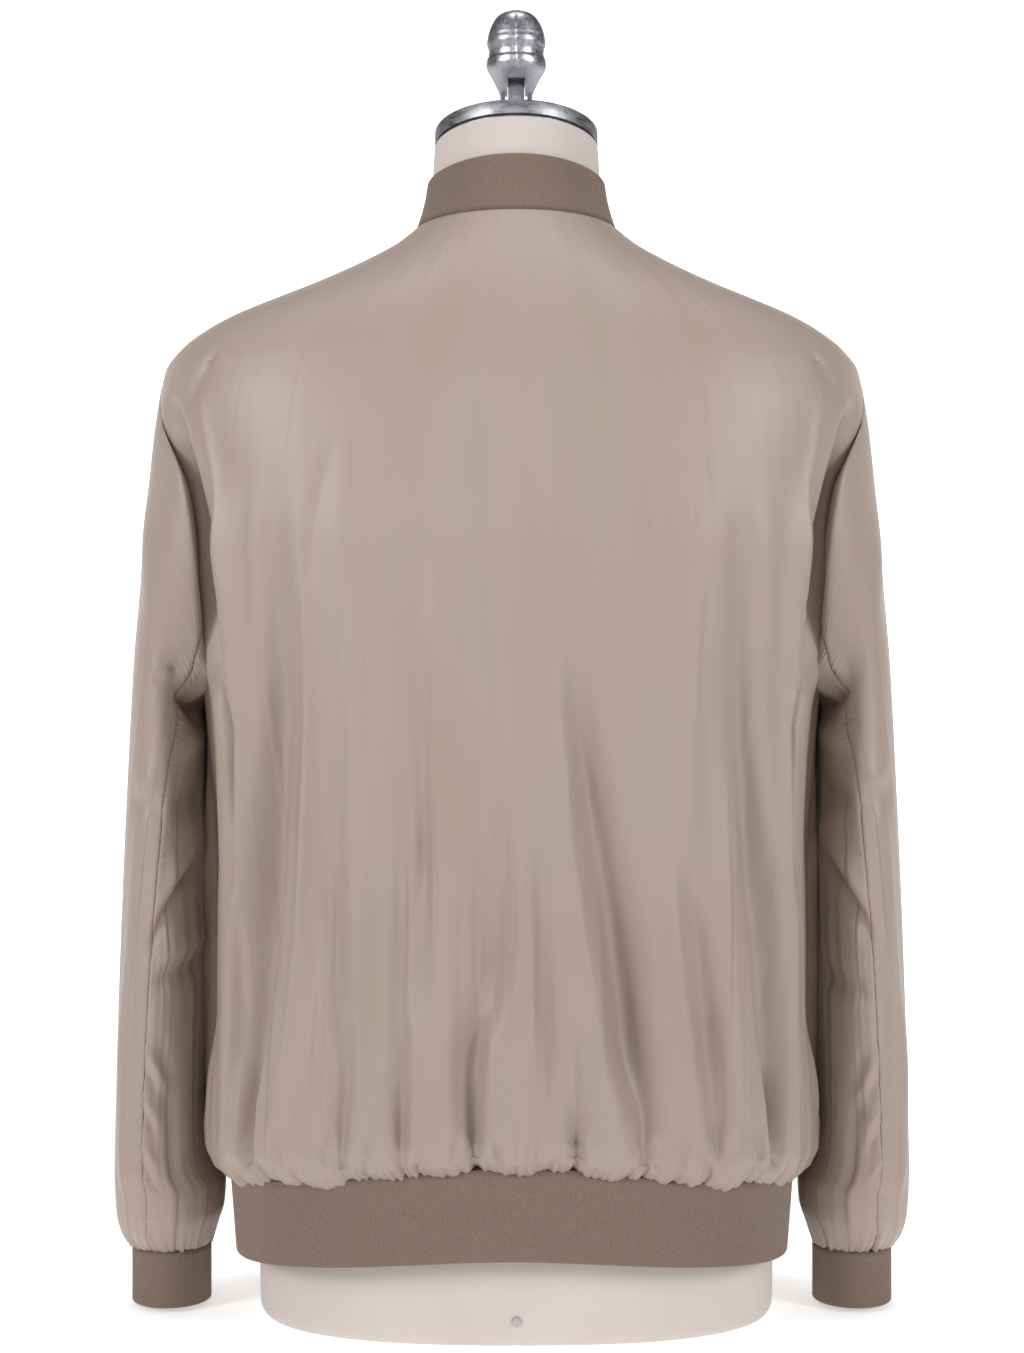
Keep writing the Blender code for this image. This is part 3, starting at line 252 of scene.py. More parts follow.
# %% The folds of the back
BACK_FOLDS = folds_of((
    # the deep hollow and the tight ridge beside each armhole
    (SOFT, (-240, 612, 0, 6, 6), (-232, 585, -14, 9, 9), (-226, 548, -27, 12, 11),
     (-216, 510, -36, 17, 11), (-207, 473, -40, 22, 10), (-203, 440, -36, 20, 9),
     (-199, 410, -26, 9, 6), (-198, 375, -12, 5, 5), (-198, 320, -3, 5, 5), (-200, 270, 0, 6, 6)),
    (FIRM, (-208, 616, 0, 5), (-203, 588, 2, 5), (-192, 540, 3.4, 5), (-183, 476, 4.4, 5),
     (-184, 420, 4.4, 5), (-190, 373, 4, 5), (-194, 290, 2, 7), (-196, 200, 0, 9)),
    (SOFT, (240, 610, 0, 6, 6), (233, 583, -13, 9, 9), (227, 548, -26, 11, 12),
     (217, 510, -35, 11, 17), (208, 473, -39, 10, 22), (204, 440, -35, 9, 20),
     (200, 410, -26, 6, 9), (199, 375, -12, 5, 5), (199, 320, -3, 5, 5), (204, 270, 0, 6, 6)),
    (FIRM, (208, 614, 0, 5), (203, 590, 1.8, 5), (194, 550, 3, 5), (185, 505, 4, 5),
     (183, 436, 4.2, 5), (190, 373, 3.8, 5), (199, 281, 2, 7), (204, 190, 0, 9)),
    # short creases over the shoulder blades
    (FIRM, (-219, 592, 0, 3), (-213, 606, -3.4, 3), (-207, 622, -2.8, 3), (-206, 645, 0, 3)),
    (SOFT, (-228, 598, 0, 4), (-220, 614, 1.2, 4), (-214, 640, 0, 5)),
    (FIRM, (207, 642, 0, 4), (212, 622, -3.2, 3), (221, 598, 0, 3)),
    (CRISP, (24, 612, 0, 5), (25, 560, 0.9, 5), (24, 480, 1.2, 5), (30, 430, 0, 5)),
    (SOFT, (-114, 580, 0, 6), (-120, 548, -1.5, 6), (-127, 500, -1.5, 7), (-132, 460, 0, 6)),
    (SOFT, (-34, 590, 0, 6), (-34, 548, -1.2, 6), (-33, 500, 0, 7)),
    # narrow streaks between the long troughs
    (CRISP, (-104, 350, 0, 4), (-99, 270, 2, 4), (-97, 190, 2.2, 4), (-98, 130, 0, 3)),
    (SOFT, (-114, 330, 0, 5), (-112, 260, -2.6, 6), (-110, 200, -2.8, 6), (-107, 150, 0, 5)),
    (CRISP, (-78, 330, 0, 4), (-79, 240, 2, 4), (-78, 170, 2, 4), (-77, 120, 0, 3)),
    (SOFT, (-86, 340, 0, 4), (-87, 270, -2.2, 5), (-87, 200, -2, 5), (-86, 150, 0, 4)),
    (SOFT, (-58, 370, 0, 4), (-58, 300, -3.2, 6), (-59, 230, -3.4, 6), (-58, 180, 0, 4)),
    (CRISP, (-34, 360, 0, 4), (-37, 270, 2, 4), (-40, 180, 2, 4), (-40, 130, 0, 3)),
    (SOFT, (-4, 400, 0, 5), (-7, 310, -3.2, 6), (-10, 240, -3.4, 6), (-11, 180, 0, 4)),
    (CRISP, (-4, 470, 0, 4), (4, 350, 1.8, 4), (12, 230, 2.2, 4), (20, 140, 0, 3)),
    (SOFT, (14, 350, 0, 4), (20, 260, -2.6, 5), (26, 190, -3, 5), (30, 140, 0, 4)),
    (CRISP, (94, 340, 0, 4), (102, 250, 2, 4), (112, 180, 3, 4), (119, 128, 0, 3)),
    (CRISP, (140, 350, 0, 4), (145, 260, 2, 4), (148, 180, 2.2, 4), (148, 130, 0, 3)),
    (SOFT, (-190, 300, 0, 4), (-193, 230, -2.4, 5), (-195, 160, -2.6, 5), (-194, 120, 0, 4)),
    # from the left to the right: long troughs, each beside a ridge
    (SOFT, (-150, 560, 0, 9, 9), (-152, 473, -5, 9, 9), (-154, 398, -11, 11, 11),
     (-164, 323, -12, 15, 14), (-173, 248, -12, 15, 16), (-182, 186, -13, 10, 12),
     (-181, 150, -19, 6, 6), (-179, 110, -15, 5, 5)),
    (CRISP, (-132, 520, 0, 4), (-131, 450, 2.4, 4), (-131, 398, 3.8, 5), (-134, 323, 4.4, 5),
     (-137, 248, 4, 5), (-143, 186, 4, 5), (-152, 145, 3.6, 4), (-160, 112, 0, 4)),
    (SOFT, (-122, 430, 0, 5), (-122, 360, -2, 6), (-125, 250, -2.2, 6), (-131, 170, 0, 6)),
    (SOFT, (-98, 230, 0, 8, 8), (-102, 186, -3, 8, 7), (-106, 145, -7, 8, 5),
     (-106, 110, -5, 4, 3)),
    (SOFT, (-58, 540, 0, 9), (-56, 473, -2.5, 7), (-57, 398, -3.2, 7), (-55, 323, -2.6, 7),
     (-50, 255, 0, 7)),
    (SOFT, (-68, 390, 0, 7, 7), (-68, 323, -4, 9, 8), (-71, 248, -6.5, 9, 7),
     (-70, 186, -5.5, 9, 8), (-69, 145, -8, 6, 6), (-68, 110, -5, 4, 4)),
    (FIRM, (-58, 250, 0, 4), (-60, 190, 1.8, 4), (-60, 140, 2.2, 4), (-60, 114, 0, 3)),
    (SOFT, (-20, 400, 0, 8, 8), (-20, 323, -3.2, 9, 8), (-16, 248, -5, 11, 10),
     (-24, 186, -9, 11, 7), (-24, 150, -12, 7, 6), (-23, 110, -8, 4, 4)),
    (FIRM, (-6, 250, 0, 5), (-12, 190, 1.6, 5), (-13, 140, 2, 4), (-13, 114, 0, 3)),
    (CRISP, (16, 500, 0, 5), (27, 398, 1.6, 5), (38, 323, 2.6, 6), (47, 248, 3.2, 6),
     (57, 186, 3.4, 5), (67, 142, 3, 4), (72, 114, 0, 4)),
    (SOFT, (26, 540, 0, 9, 9), (35, 473, -2.4, 9, 9), (42, 398, -8, 9, 11),
     (56, 323, -10, 10, 15), (66, 248, -13, 10, 16), (73, 186, -12.5, 10, 15),
     (83, 145, -9, 7, 12), (88, 110, -6, 4, 6)),
    (SOFT, (34, 225, 0, 7, 7), (37, 186, -3, 7, 7), (39, 145, -7, 6, 8), (40, 110, -5, 4, 5)),
    (FIRM, (100, 330, 0, 5), (106, 250, 1.8, 6), (112, 190, 2.4, 6), (118, 140, 2, 5),
     (120, 114, 0, 4)),
    (SOFT, (108, 340, 0, 9, 9), (120, 260, -4, 9, 10), (127, 186, -7, 10, 10),
     (131, 145, -7, 11, 9), (130, 110, -4, 5, 5)),
    (SOFT, (142, 550, 0, 10, 8), (148, 473, -5.5, 11, 9), (154, 398, -9, 12, 10),
     (166, 323, -10, 13, 10), (175, 248, -10, 14, 11), (180, 186, -11, 12, 10),
     (180, 150, -18, 7, 6), (178, 110, -15, 5, 5)),
    (SOFT, (70, 560, 0, 10), (78, 470, 1, 12), (86, 380, 0, 12)),
))

# %% The folds of the sides and the fronts
SIDE_FOLDS = []
for side, hollow in ((-1, -6.0), (1, -7.5)):
    SIDE_FOLDS += folds_of((
        (SOFT, (side * 246, 450, 0, 14), (side * 246, 400, 0.7 * hollow, 20),
         (side * 248, 300, hollow, 24), (side * 248, 200, hollow, 22), (side * 246, 125, 0, 14)),
        (SOFT, (side * 246, 380, 0, 10), (side * 250, 280, 3, 11), (side * 252, 170, 2.4, 10),
         (side * 252, 118, 0, 8)),
        (SOFT, (side * 266, 400, 0, 9), (side * 270, 300, -4.4, 11), (side * 268, 190, -5, 10),
         (side * 265, 116, -3, 6)),
        (FIRM, (side * 286, 400, 0, 8), (side * 292, 290, 3.4, 10), (side * 290, 170, 2.6, 9),
         (side * 288, 118, 0, 6)),
        (SOFT, (side * 306, 410, 0, 9), (side * 312, 310, -4, 11), (side * 310, 180, -4.6, 9),
         (side * 308, 116, -2.6, 6)),
    ))

# The folds of a front are measured from its front edge.
FRONT_TABLES = {
    1: (
        (SOFT, (196, 590, 0, 8), (190, 520, -4, 9), (186, 440, -5, 10), (184, 340, -3.6, 12),
         (180, 220, 0, 13)),
        (FIRM, (176, 600, 0, 8), (172, 500, 2.8, 10), (168, 380, 3.2, 11), (162, 250, 2.2, 12),
         (158, 160, 0, 10)),
        (SOFT, (155, 500, 0, 10), (148, 380, -3, 13), (140, 240, -4.4, 12), (136, 120, -3.2, 6)),
        (FIRM, (118, 470, 0, 10), (110, 340, 2.4, 12), (100, 210, 3.6, 10), (96, 120, 1.2, 6)),
        (SOFT, (86, 420, 0, 9), (78, 300, -2.6, 11), (70, 190, -4, 9), (66, 110, -3, 5)),
        (SOFT, (50, 330, 0, 8), (48, 230, 1.8, 9), (44, 140, 2.2, 7), (44, 104, 0, 5)),
        (SOFT, (100, 640, 0, 10), (120, 590, -0.8, 11), (134, 520, 0, 12)),
    ),
    -1: (
        (SOFT, (194, 586, 0, 8), (188, 510, -4.4, 9), (184, 430, -5.2, 10), (180, 330, -3.4, 12),
         (178, 210, 0, 13)),
        (FIRM, (172, 590, 0, 8), (169, 490, 3, 10), (164, 370, 3, 11), (160, 240, 2, 12),
         (154, 150, 0, 10)),
        (SOFT, (150, 480, 0, 10), (141, 360, -3.2, 13), (134, 230, -4.2, 12), (130, 118, -3.4, 6)),
        (FIRM, (112, 440, 0, 10), (106, 320, 2.2, 12), (98, 200, 3.2, 10), (90, 118, 1.2, 6)),
        (SOFT, (80, 390, 0, 9), (72, 280, -2.8, 11), (62, 180, -3.8, 9), (60, 110, -3, 5)),
        (SOFT, (44, 300, 0, 8), (40, 210, 1.6, 8), (36, 140, 2, 6), (36, 104, 0, 5)),
        (SOFT, (110, 630, 0, 10), (124, 580, -0.8, 11), (130, 510, 0, 12)),
    ),
}
FRONT_FOLDS = []
for side, table in FRONT_TABLES.items():
    FRONT_FOLDS += folds_of(table, lambda from_edge: side * (HALF_ROUND - metres(from_edge)))
print(len(BACK_FOLDS), "folds behind,", len(SIDE_FOLDS) + len(FRONT_FOLDS), "elsewhere")

# %% [markdown]
# ## Gathers at the hem
# The body is wider than the stretched band it is sewn to, so it is eased in. Between the gathers
# it puffs out and droops over the seam in uneven scallops, and right at the stitches it has fine
# puckers. The gathers behind are listed one by one, and a seeded draw spaces those elsewhere.

# %% The hem's gathers, puffs and puckers
# millimetres round, pull inwards, half width and how far up, then the lean
BACK_GATHERS = (
    (-192, 3, 3, 12, 0.2), (-166, 5, 3.6, 24, -0.1), (-158, 3.4, 2.6, 12, 0.4),
    (-140, 1.6, 2.4, 8, 0.5), (-106, 3.4, 3, 22, -0.05), (-94, 1.4, 2, 6, 0.6),
    (-70, 4.2, 3, 26, 0.05), (-61, 3.2, 2.2, 14, 0.7), (-56, 2.2, 1.8, 8, 0.8),
    (-34, 1.2, 2, 6, 0.3), (-23, 1.6, 3.4, 30, 0), (-14, 2.2, 2.4, 10, -0.4), (2, 1.6, 2, 8, 0.5),
    (17, 2.6, 2.2, 10, 0.4), (23, 2, 2, 8, 0.6), (41, 3, 2.8, 18, -0.45), (46, 2.4, 2, 10, -0.3),
    (60, 1, 2, 6, 0), (76, 2.6, 2.2, 8, 0.3), (86, 5, 3, 22, -0.55), (93, 3, 2.2, 12, -0.6),
    (107, 1.6, 2, 6, 0.2), (115, 1.6, 1.8, 6, 0.5), (127, 5.6, 3.2, 26, -0.35),
    (134, 2.6, 2.2, 10, -0.5), (158, 3.6, 2.6, 14, 0.3), (168, 4.4, 3, 20, 0.1),
    (177, 3.2, 2.6, 12, 0), (190, 2.6, 2.6, 10, 0.1),
)
# millimetres round, and how far the scallop hangs below the seam line
BACK_DROOP = (
    (-200, 0), (-183, -1.4), (-165, -3), (-147, -1.6), (-121, 1.6), (-107, 0.6), (-92, -1.2),
    (-66, 0), (-44, 2), (-23, 0.6), (4, 2), (22, 0.4), (30, 1.2), (41, -1), (60, 2.6), (78, 0.6),
    (86, 0.8), (105, 4), (127, 1.4), (146, 5.4), (157, -0.8), (170, -1.6), (183, -1.4), (200, 0),
)
HEM_SEED = 20
DRAWN_FROM, DRAWN_SHORT_OF_FRONT = 0.212, 0.016
hem_draw = np.random.default_rng(HEM_SEED)
gathers = [(metres(place), *rest) for place, *rest in BACK_GATHERS]
droops = {round(metres(place), 4): drop for place, drop in BACK_DROOP}
for side in (-1, 1):
    place = DRAWN_FROM
    while place < HALF_ROUND - DRAWN_SHORT_OF_FRONT:
        strength = hem_draw.uniform(0.4, 1.0)
        gathers.append((side * place, 5.0 * strength, 2.0 + 1.6 * strength,
                        6.0 + 20.0 * strength, hem_draw.uniform(-0.5, 0.5)))
        step = hem_draw.uniform(0.011, 0.030)
        droops[round(side * place, 4)] = 0.0
        between = round(side * (place + 0.5 * step), 4)
        droops[between] = float(60.0 * step * hem_draw.uniform(0.6, 1.4))
        place += step
    droops[round(side * (HALF_ROUND + 0.01), 4)] = 0.0
read_droop = smooth_reader(sorted(droops.items()))
# waves of a few millimetres, which add up to RIPPLE_SPAN at most
RIPPLE_COUNT, RIPPLE_PITCH, RIPPLE_SPAN = 7, (0.0042, 0.0105), 3.2
RIPPLES = tuple(
    (TURN / hem_draw.uniform(*RIPPLE_PITCH), hem_draw.uniform(0.0, TURN))
    for _ in range(RIPPLE_COUNT)
)
print(len(gathers), "gathers round the hem")

# The cloth bulges over its seam, so its last few millimetres can't be seen.
HIDDEN_UNDER = 0.005
# height and reach of the fine puckers at the stitches and of the broader ones
FINE_PUCKER, FINE_REACH = 0.60 * MM, 0.0065
BROAD_PUCKER, BROAD_REACH = 0.40 * MM, 0.018
# a gather's share of its pull, how it widens upwards, and its rounded valley
GATHER_PULL, GATHER_WIDENS = 0.75, 0.10
VALLEY_ROUND, VALLEY_SHIFT, VALLEY_FALL = 0.06, 0.245, 0.785
SEAM_STANDS_OUT, SEAM_REACH = 0.0035, 0.006
DROOP_SHARE, BULGE_RISE, DROOP_REACH = 0.40, 8.5, 0.024


def ripple(way):
    """An uneven ripple of about 6 mm, between -1 and 1."""
    return sum(np.sin(way * rate + start) for rate, start in RIPPLES) / RIPPLE_SPAN


def hem_lift(way, above):
    """The gathers' pull, above metres over the hem seam."""
    above = np.maximum(above - HIDDEN_UNDER, 0.0)
    total = FINE_PUCKER * ripple(way) * np.exp(-above / FINE_REACH)
    total += BROAD_PUCKER * ripple(0.5 * way + 3.0) * np.exp(-above / BROAD_REACH)
    for place, pull, half_width, height, lean in gathers:
        wide = (half_width + GATHER_WIDENS * above / MM) * MM
        across = (way - place - lean * above) / wide
        valley = np.exp(-(np.sqrt(across**2 + VALLEY_ROUND) - VALLEY_SHIFT) / VALLEY_FALL)
        total -= GATHER_PULL * pull * MM * valley * np.exp(-above / (height * MM))
    return total


def hem_ease(above):
    """The seam stands out a little, so the cloth just above it hardly overhangs."""
    return SEAM_STANDS_OUT * np.exp(-((above / SEAM_REACH) ** 2))


def hem_droop(way, above):
    """How far the scallops hang down. The bulge over the seam is drawn up before it hangs."""
    hang = DROOP_SHARE * read_droop(way)[:, 0] - BULGE_RISE
    return hang * MM * np.exp(-((above / DROOP_REACH) ** 2))


# %% The body with its folds
UNDULATIONS = ((0.0009, 96.0, 9.0, 0.4), (0.0006, 151.0, -13.0, 2.0), (0.0004, 233.0, 6.0, 4.4))
BODY_FOLDS = (*BACK_FOLDS, *SIDE_FOLDS, *FRONT_FOLDS)
# short puckers that the hem band pinches: the foot, how far the top leans and the depth
PUCKER_FEET = (
    (-173, -6, 3.4), (-146.5, -3, 2.2), (-117, -6, 3.4), (-92, 3, 2.0), (-36, 4, 3.2),
    (-8, -5, 3.2), (15.4, 3, 2.2), (42, -5, 3.6), (83, -6, 3.8), (108, 3, 2.2), (133, -4, 3.4),
    (163, -4, 3.0), (-262, 4, 2.8), (255, -4, 3.0), (-315, -3, 2.6), (322, 4, 2.8),
    (-365, 4, 3.0), (372, -5, 2.6),
)
PUCKERS = []
for foot, lean, deep in PUCKER_FEET:
    top, middle = foot + lean, foot + 0.5 * lean
    PUCKERS += folds_of((
        (FIRM, (top, 144, 0, 3), (middle, 131, -deep, 3.4), (foot, 117, -0.8 * deep, 3),
         (foot, 108, 0, 2)),
        (FIRM, (top + 6, 142, 0, 3), (middle + 6, 130, 0.5 * deep, 3.4),
         (foot + 5, 117, 0.4 * deep, 3), (foot + 5, 108, 0, 2)),
    ))
# heights between which the cloth starts to hang, folds deepen, the band holds them, and they end
HANG_OVER, DEEPEN_OVER = (0.60, 0.42), (0.46, 0.28)
HELD_OVER, END_OVER = (0.21, 0.15), (0.112, 0.140)
# metres from the middle of the front between which the zip takes hold of the cloth
ZIP_FREE, ZIP_HELD = 0.030, 0.012
RIDGE_WAY, RIDGE_HALF_WIDTH, RIDGE_LAP = 0.185, 0.0075, 0.0075
LAP_STARTS_OVER, LAP_ENDS_OVER = (0.385, 0.43), (0.565, 0.50)


def body_lift(way, level, z):
    lift = fold_lift(way, z, BODY_FOLDS)
    lift *= 1.0 + 0.7 * smoothstep(*DEEPEN_OVER, z) - 0.45 * smoothstep(*HELD_OVER, z)
    lift *= 0.35 + 0.65 * smoothstep(*END_OVER, z)
    lift += fold_lift(way, z, PUCKERS)
    hanging = smoothstep(*HANG_OVER, level)
    for height, across, up, start in UNDULATIONS:
        lift += height * hanging * np.sin(way * across + z * up + start)
    above = np.maximum(level - HEM_LEVEL, 0.0)
    total = lift + hem_lift(way, above) + hem_ease(above)
    # the zip's tapes hold the front edges, so no fold sinks behind them
    by_zip = smoothstep(HALF_ROUND - ZIP_FREE, HALF_ROUND - ZIP_HELD, np.abs(way))
    return np.maximum(total, total * (1.0 - by_zip))


def armhole_lap(way, z):
    """How far the ridge beside an armhole laps over its hollow."""
    near = np.exp(-(((np.abs(way) - RIDGE_WAY) / RIDGE_HALF_WIDTH) ** 2))
    return RIDGE_LAP * near * smoothstep(*LAP_STARTS_OVER, z) * smoothstep(*LAP_ENDS_OVER, z)


def body_shape(angle, level):
    """The outer face of the body's cloth."""
    way = way_of(angle)
    points = body_plain(angle, level)
    z = points[:, 2].copy()
    points += body_out(angle, level) * body_lift(way, level, z)[:, None]
    points[:, 0] += np.sign(way) * armhole_lap(way, z)
    points[:, 2] -= hem_droop(way, level - HEM_LEVEL)
    return points


# %% [markdown]
# ## The sleeves' surface
# Each sleeve is a fan of ovals from the upright armhole to the level wrist. Its first ring is
# the body's own armhole edge, so the two cloths meet in a seam. The outer point of a ring is
# place 0, and the place grows round the back, to 180 degrees at the inner point.

# %% The sleeve without its folds
# outer point's x and z, inner point's x and z, reach behind, reach ahead
SLEEVE_RINGS = (
    (0.2338, 0.629, 0.2084, 0.414, 0.06, 0.077), (0.2385, 0.604, 0.2092, 0.407, 0.061, 0.078),
    (0.2434, 0.569, 0.2095, 0.401, 0.0615, 0.079), (0.2482, 0.529, 0.2096, 0.396, 0.062, 0.08),
    (0.2522, 0.484, 0.2094, 0.391, 0.062, 0.081), (0.2558, 0.444, 0.2092, 0.385, 0.062, 0.082),
    (0.2582, 0.404, 0.209, 0.377, 0.062, 0.0815), (0.2602, 0.364, 0.2086, 0.361, 0.062, 0.081),
    (0.2628, 0.309, 0.2081, 0.309, 0.061, 0.078), (0.2652, 0.254, 0.2078, 0.254, 0.0595, 0.0745),
    (0.267, 0.199, 0.2078, 0.199, 0.0585, 0.0705), (0.2684, 0.144, 0.2077, 0.146, 0.0575, 0.0665),
    (0.2692, 0.106, 0.2066, 0.11, 0.057, 0.063), (0.2694, 0.09, 0.203, 0.097, 0.0565, 0.0605),
    (0.269, 0.078, 0.1948, 0.084, 0.056, 0.058), (0.2676, 0.061, 0.1955, 0.069, 0.053, 0.053),
    (0.2646, 0.05, 0.1995, 0.056, 0.045, 0.045), (0.2592, 0.041, 0.2046, 0.041, 0.033, 0.033),
)
LAST_RING = len(SLEEVE_RINGS) - 1.0
read_sleeve = smooth_reader([(number, *ring) for number, ring in enumerate(SLEEVE_RINGS)])
ARMHOLE_BLEND_RINGS = 4.0
SEAM_COLUMN = TURN / 20.0
BACK_SEAM_COLUMNS = (7, 7, 7, 7, 7, 6.9, 6.6, 6.1, 5.5, 5, 4.7, 4.5, 4.4, 4.3, 4.2, 4.1, 4, 4)
FRONT_SEAM = 14 * SEAM_COLUMN
read_back_seam = smooth_reader(list(enumerate(BACK_SEAM_COLUMNS)))


def back_seam(ring):
    return read_back_seam(ring)[:, 0] * SEAM_COLUMN


def armhole_edge(place):
    """The body's edge at a place round the armhole: 0 at its top, then the back."""
    angle = SIDE_TURN - ARMHOLE_SPREAD * np.sin(place) + TURN
    middle = 0.5 * (ARMHOLE_LOW + ARMHOLE_HIGH)
    level = middle + 0.5 * (ARMHOLE_HIGH - ARMHOLE_LOW) * np.cos(place)
    return angle, level


def sleeve_oval(place, ring):
    outer_x, outer_z, inner_x, inner_z, back, front = read_sleeve(ring).T
    share = 0.5 * (1.0 + np.cos(place))
    x = inner_x + (outer_x - inner_x) * share + JACKET_SHIFT
    z = inner_z + (outer_z - inner_z) * share
    y = 0.5 * (front - back) - 0.5 * (front + back) * np.sin(place)
    return np.column_stack((x, y, z))


def mirrored(points):
    """The matching points on the other side of the jacket's centre plane."""
    return points * (-1.0, 1.0, 1.0) + (2.0 * JACKET_SHIFT, 0.0, 0.0)


def sleeve_plain(place, ring):
    """The right sleeve's smooth outer face."""
    fade = 1.0 - smoothstep(0.0, ARMHOLE_BLEND_RINGS, ring)
    start = sleeve_oval(place, np.zeros_like(place))
    rim = body_plain(*armhole_edge(place))
    return sleeve_oval(place, ring) + (rim - start) * fade[:, None]


def sleeve_out(place, ring):
    inside = np.clip(ring, 0.06, LAST_RING - 0.06)
    return facing_out(sleeve_plain, place, inside, 0.02, 0.05)


# %% [markdown]
# ## The folds of the sleeves
# An arm-shaped sleeve that hangs empty breaks at the elbow. The cloth above sags over a deep
# hollow on the inner side, and smaller folds cross the forearm. Here a point starts with degrees
# round the sleeve in place of millimetres across.

# %% The sleeves' folds and seams
SLEEVE_WAY = 0.048
SLEEVE_TABLES = {
    -1: (
        (SOFT, (196, 428, 0, 8), (180, 430, 4, 9), (150, 430, 4.4, 9), (124, 428, 1.6, 7),
         (112, 428, 0, 5)),
        (FIRM, (200, 402, -1.2, 8), (180, 401, -9, 9), (150, 404, -9, 7), (126, 411, -4, 5),
         (112, 414, 0, 4)),
        (FIRM, (72, 427, 0, 3), (84, 428.5, 1.3, 3.4), (100, 429, 1.5, 3.4), (112, 428, 0, 3)),
        (FIRM, (74, 422, 0, 3), (88, 423, -1.1, 3.4), (110, 424, 0, 3)),
        (SOFT, (180, 385, 2.4, 9), (140, 378, 3, 10), (112, 372, 0, 8)),
        (SOFT, (50, 358, 0, 8), (66, 357, 0.8, 10), (84, 356, 1.4, 10), (98, 352, 0, 8)),
        (SOFT, (44, 342, 0, 8), (64, 342, -1.2, 9), (88, 341, -3, 8), (116, 336, 0, 7)),
        (SOFT, (180, 344, -3.4, 10), (140, 340, -3, 10), (104, 334, 0, 8)),
        (FIRM, (78, 236, 0, 6), (92, 252, -3, 7), (112, 272, -4.6, 8), (140, 292, -4.6, 9),
         (172, 304, 0, 8)),
        (FIRM, (84, 256, 0, 6), (104, 276, 3, 8), (124, 296, 3.6, 9), (150, 314, 2.6, 9),
         (178, 322, 0, 8)),
        (SOFT, (80, 218, 0, 6), (110, 226, -2.4, 7), (150, 231, -3, 8), (186, 234, 0, 8)),
        (SOFT, (84, 236, 0, 7), (120, 243, 2.2, 8), (160, 250, 2.2, 9), (186, 252, 0, 8)),
        (SOFT, (100, 196, 0, 6), (112, 160, -2.2, 7), (116, 120, -1.6, 7), (112, 80, 0, 5)),
        (FIRM, (76, 186, 0, 3), (90, 176, 2.6, 4), (108, 158, 2, 4), (120, 144, 0, 3)),
        (FIRM, (78, 168, 0, 3), (92, 158, -2.6, 3), (106, 144, 0, 3)),
        (FIRM, (74, 156, 0, 3), (88, 146, 2.4, 3), (102, 130, 0, 3)),
        (FIRM, (76, 140, 0, 3), (90, 130, -2.4, 3), (104, 114, 0, 3)),
        (FIRM, (74, 124, 0, 3), (88, 114, 2.2, 3), (100, 98, 0, 3)),
        (FIRM, (72, 108, 0, 3), (84, 98, -2, 3), (96, 84, 0, 3)),
        (SOFT, (40, 240, 0, 8), (44, 170, 1.6, 9), (50, 100, 1.6, 9), (52, 70, 0, 8)),
        (SOFT, (20, 560, 0, 10), (52, 500, 1.6, 12), (84, 440, 0, 10)),
        (SOFT, (60, 590, 0, 8), (84, 530, -1.4, 9), (104, 470, 0, 9)),
    ),
    1: (
        (SOFT, (196, 430, 0, 8), (180, 431, 4, 9), (148, 432, 4, 9), (124, 430, 1.4, 7),
         (112, 430, 0, 5)),
        (FIRM, (200, 404, -1.2, 8), (180, 404, -8.4, 9), (148, 407, -8.2, 7), (126, 414, -3.6, 5),
         (112, 417, 0, 4)),
        (SOFT, (180, 388, 2.6, 9), (140, 384, 2.6, 10), (112, 380, 0, 8)),
        (SOFT, (50, 366, 0, 8), (64, 363, 0.8, 10), (84, 360, 1.4, 10), (98, 354, 0, 8)),
        (SOFT, (44, 351, 0, 8), (62, 348, -1.2, 9), (86, 345, -3, 8), (116, 339, 0, 7)),
        (SOFT, (180, 352, -3, 10), (140, 346, -3.2, 10), (104, 338, 0, 8)),
        (FIRM, (80, 246, 0, 6), (96, 258, -3.2, 7), (116, 276, -4.8, 8), (142, 296, -4.6, 9),
         (174, 308, 0, 8)),
        (FIRM, (84, 264, 0, 6), (106, 282, 3.2, 8), (128, 302, 3.8, 9), (152, 318, 2.6, 9),
         (178, 326, 0, 8)),
        (SOFT, (80, 212, 0, 6), (112, 219, -2, 7), (150, 224, -2.8, 8), (186, 226, 0, 8)),
        (SOFT, (98, 190, 0, 6), (110, 154, -2.2, 7), (114, 114, -1.6, 7), (112, 78, 0, 5)),
        (FIRM, (76, 180, 0, 3), (92, 169, 2.6, 4), (110, 150, 2, 4), (120, 138, 0, 3)),
        (FIRM, (78, 162, 0, 3), (92, 151, -2.5, 3), (106, 138, 0, 3)),
        (FIRM, (74, 148, 0, 3), (90, 137, 2.4, 3), (102, 124, 0, 3)),
        (FIRM, (76, 130, 0, 3), (90, 119, -2.4, 3), (104, 104, 0, 3)),
        (FIRM, (74, 114, 0, 3), (86, 104, 2.2, 3), (98, 90, 0, 3)),
        (SOFT, (36, 230, 0, 8), (40, 160, 1.8, 9), (46, 100, 1.4, 9), (50, 70, 0, 8)),
        (SOFT, (22, 550, 0, 10), (54, 490, 1.6, 12), (84, 436, 0, 10)),
        (SOFT, (62, 586, 0, 8), (86, 524, -1.4, 9), (104, 466, 0, 9)),
    ),
}
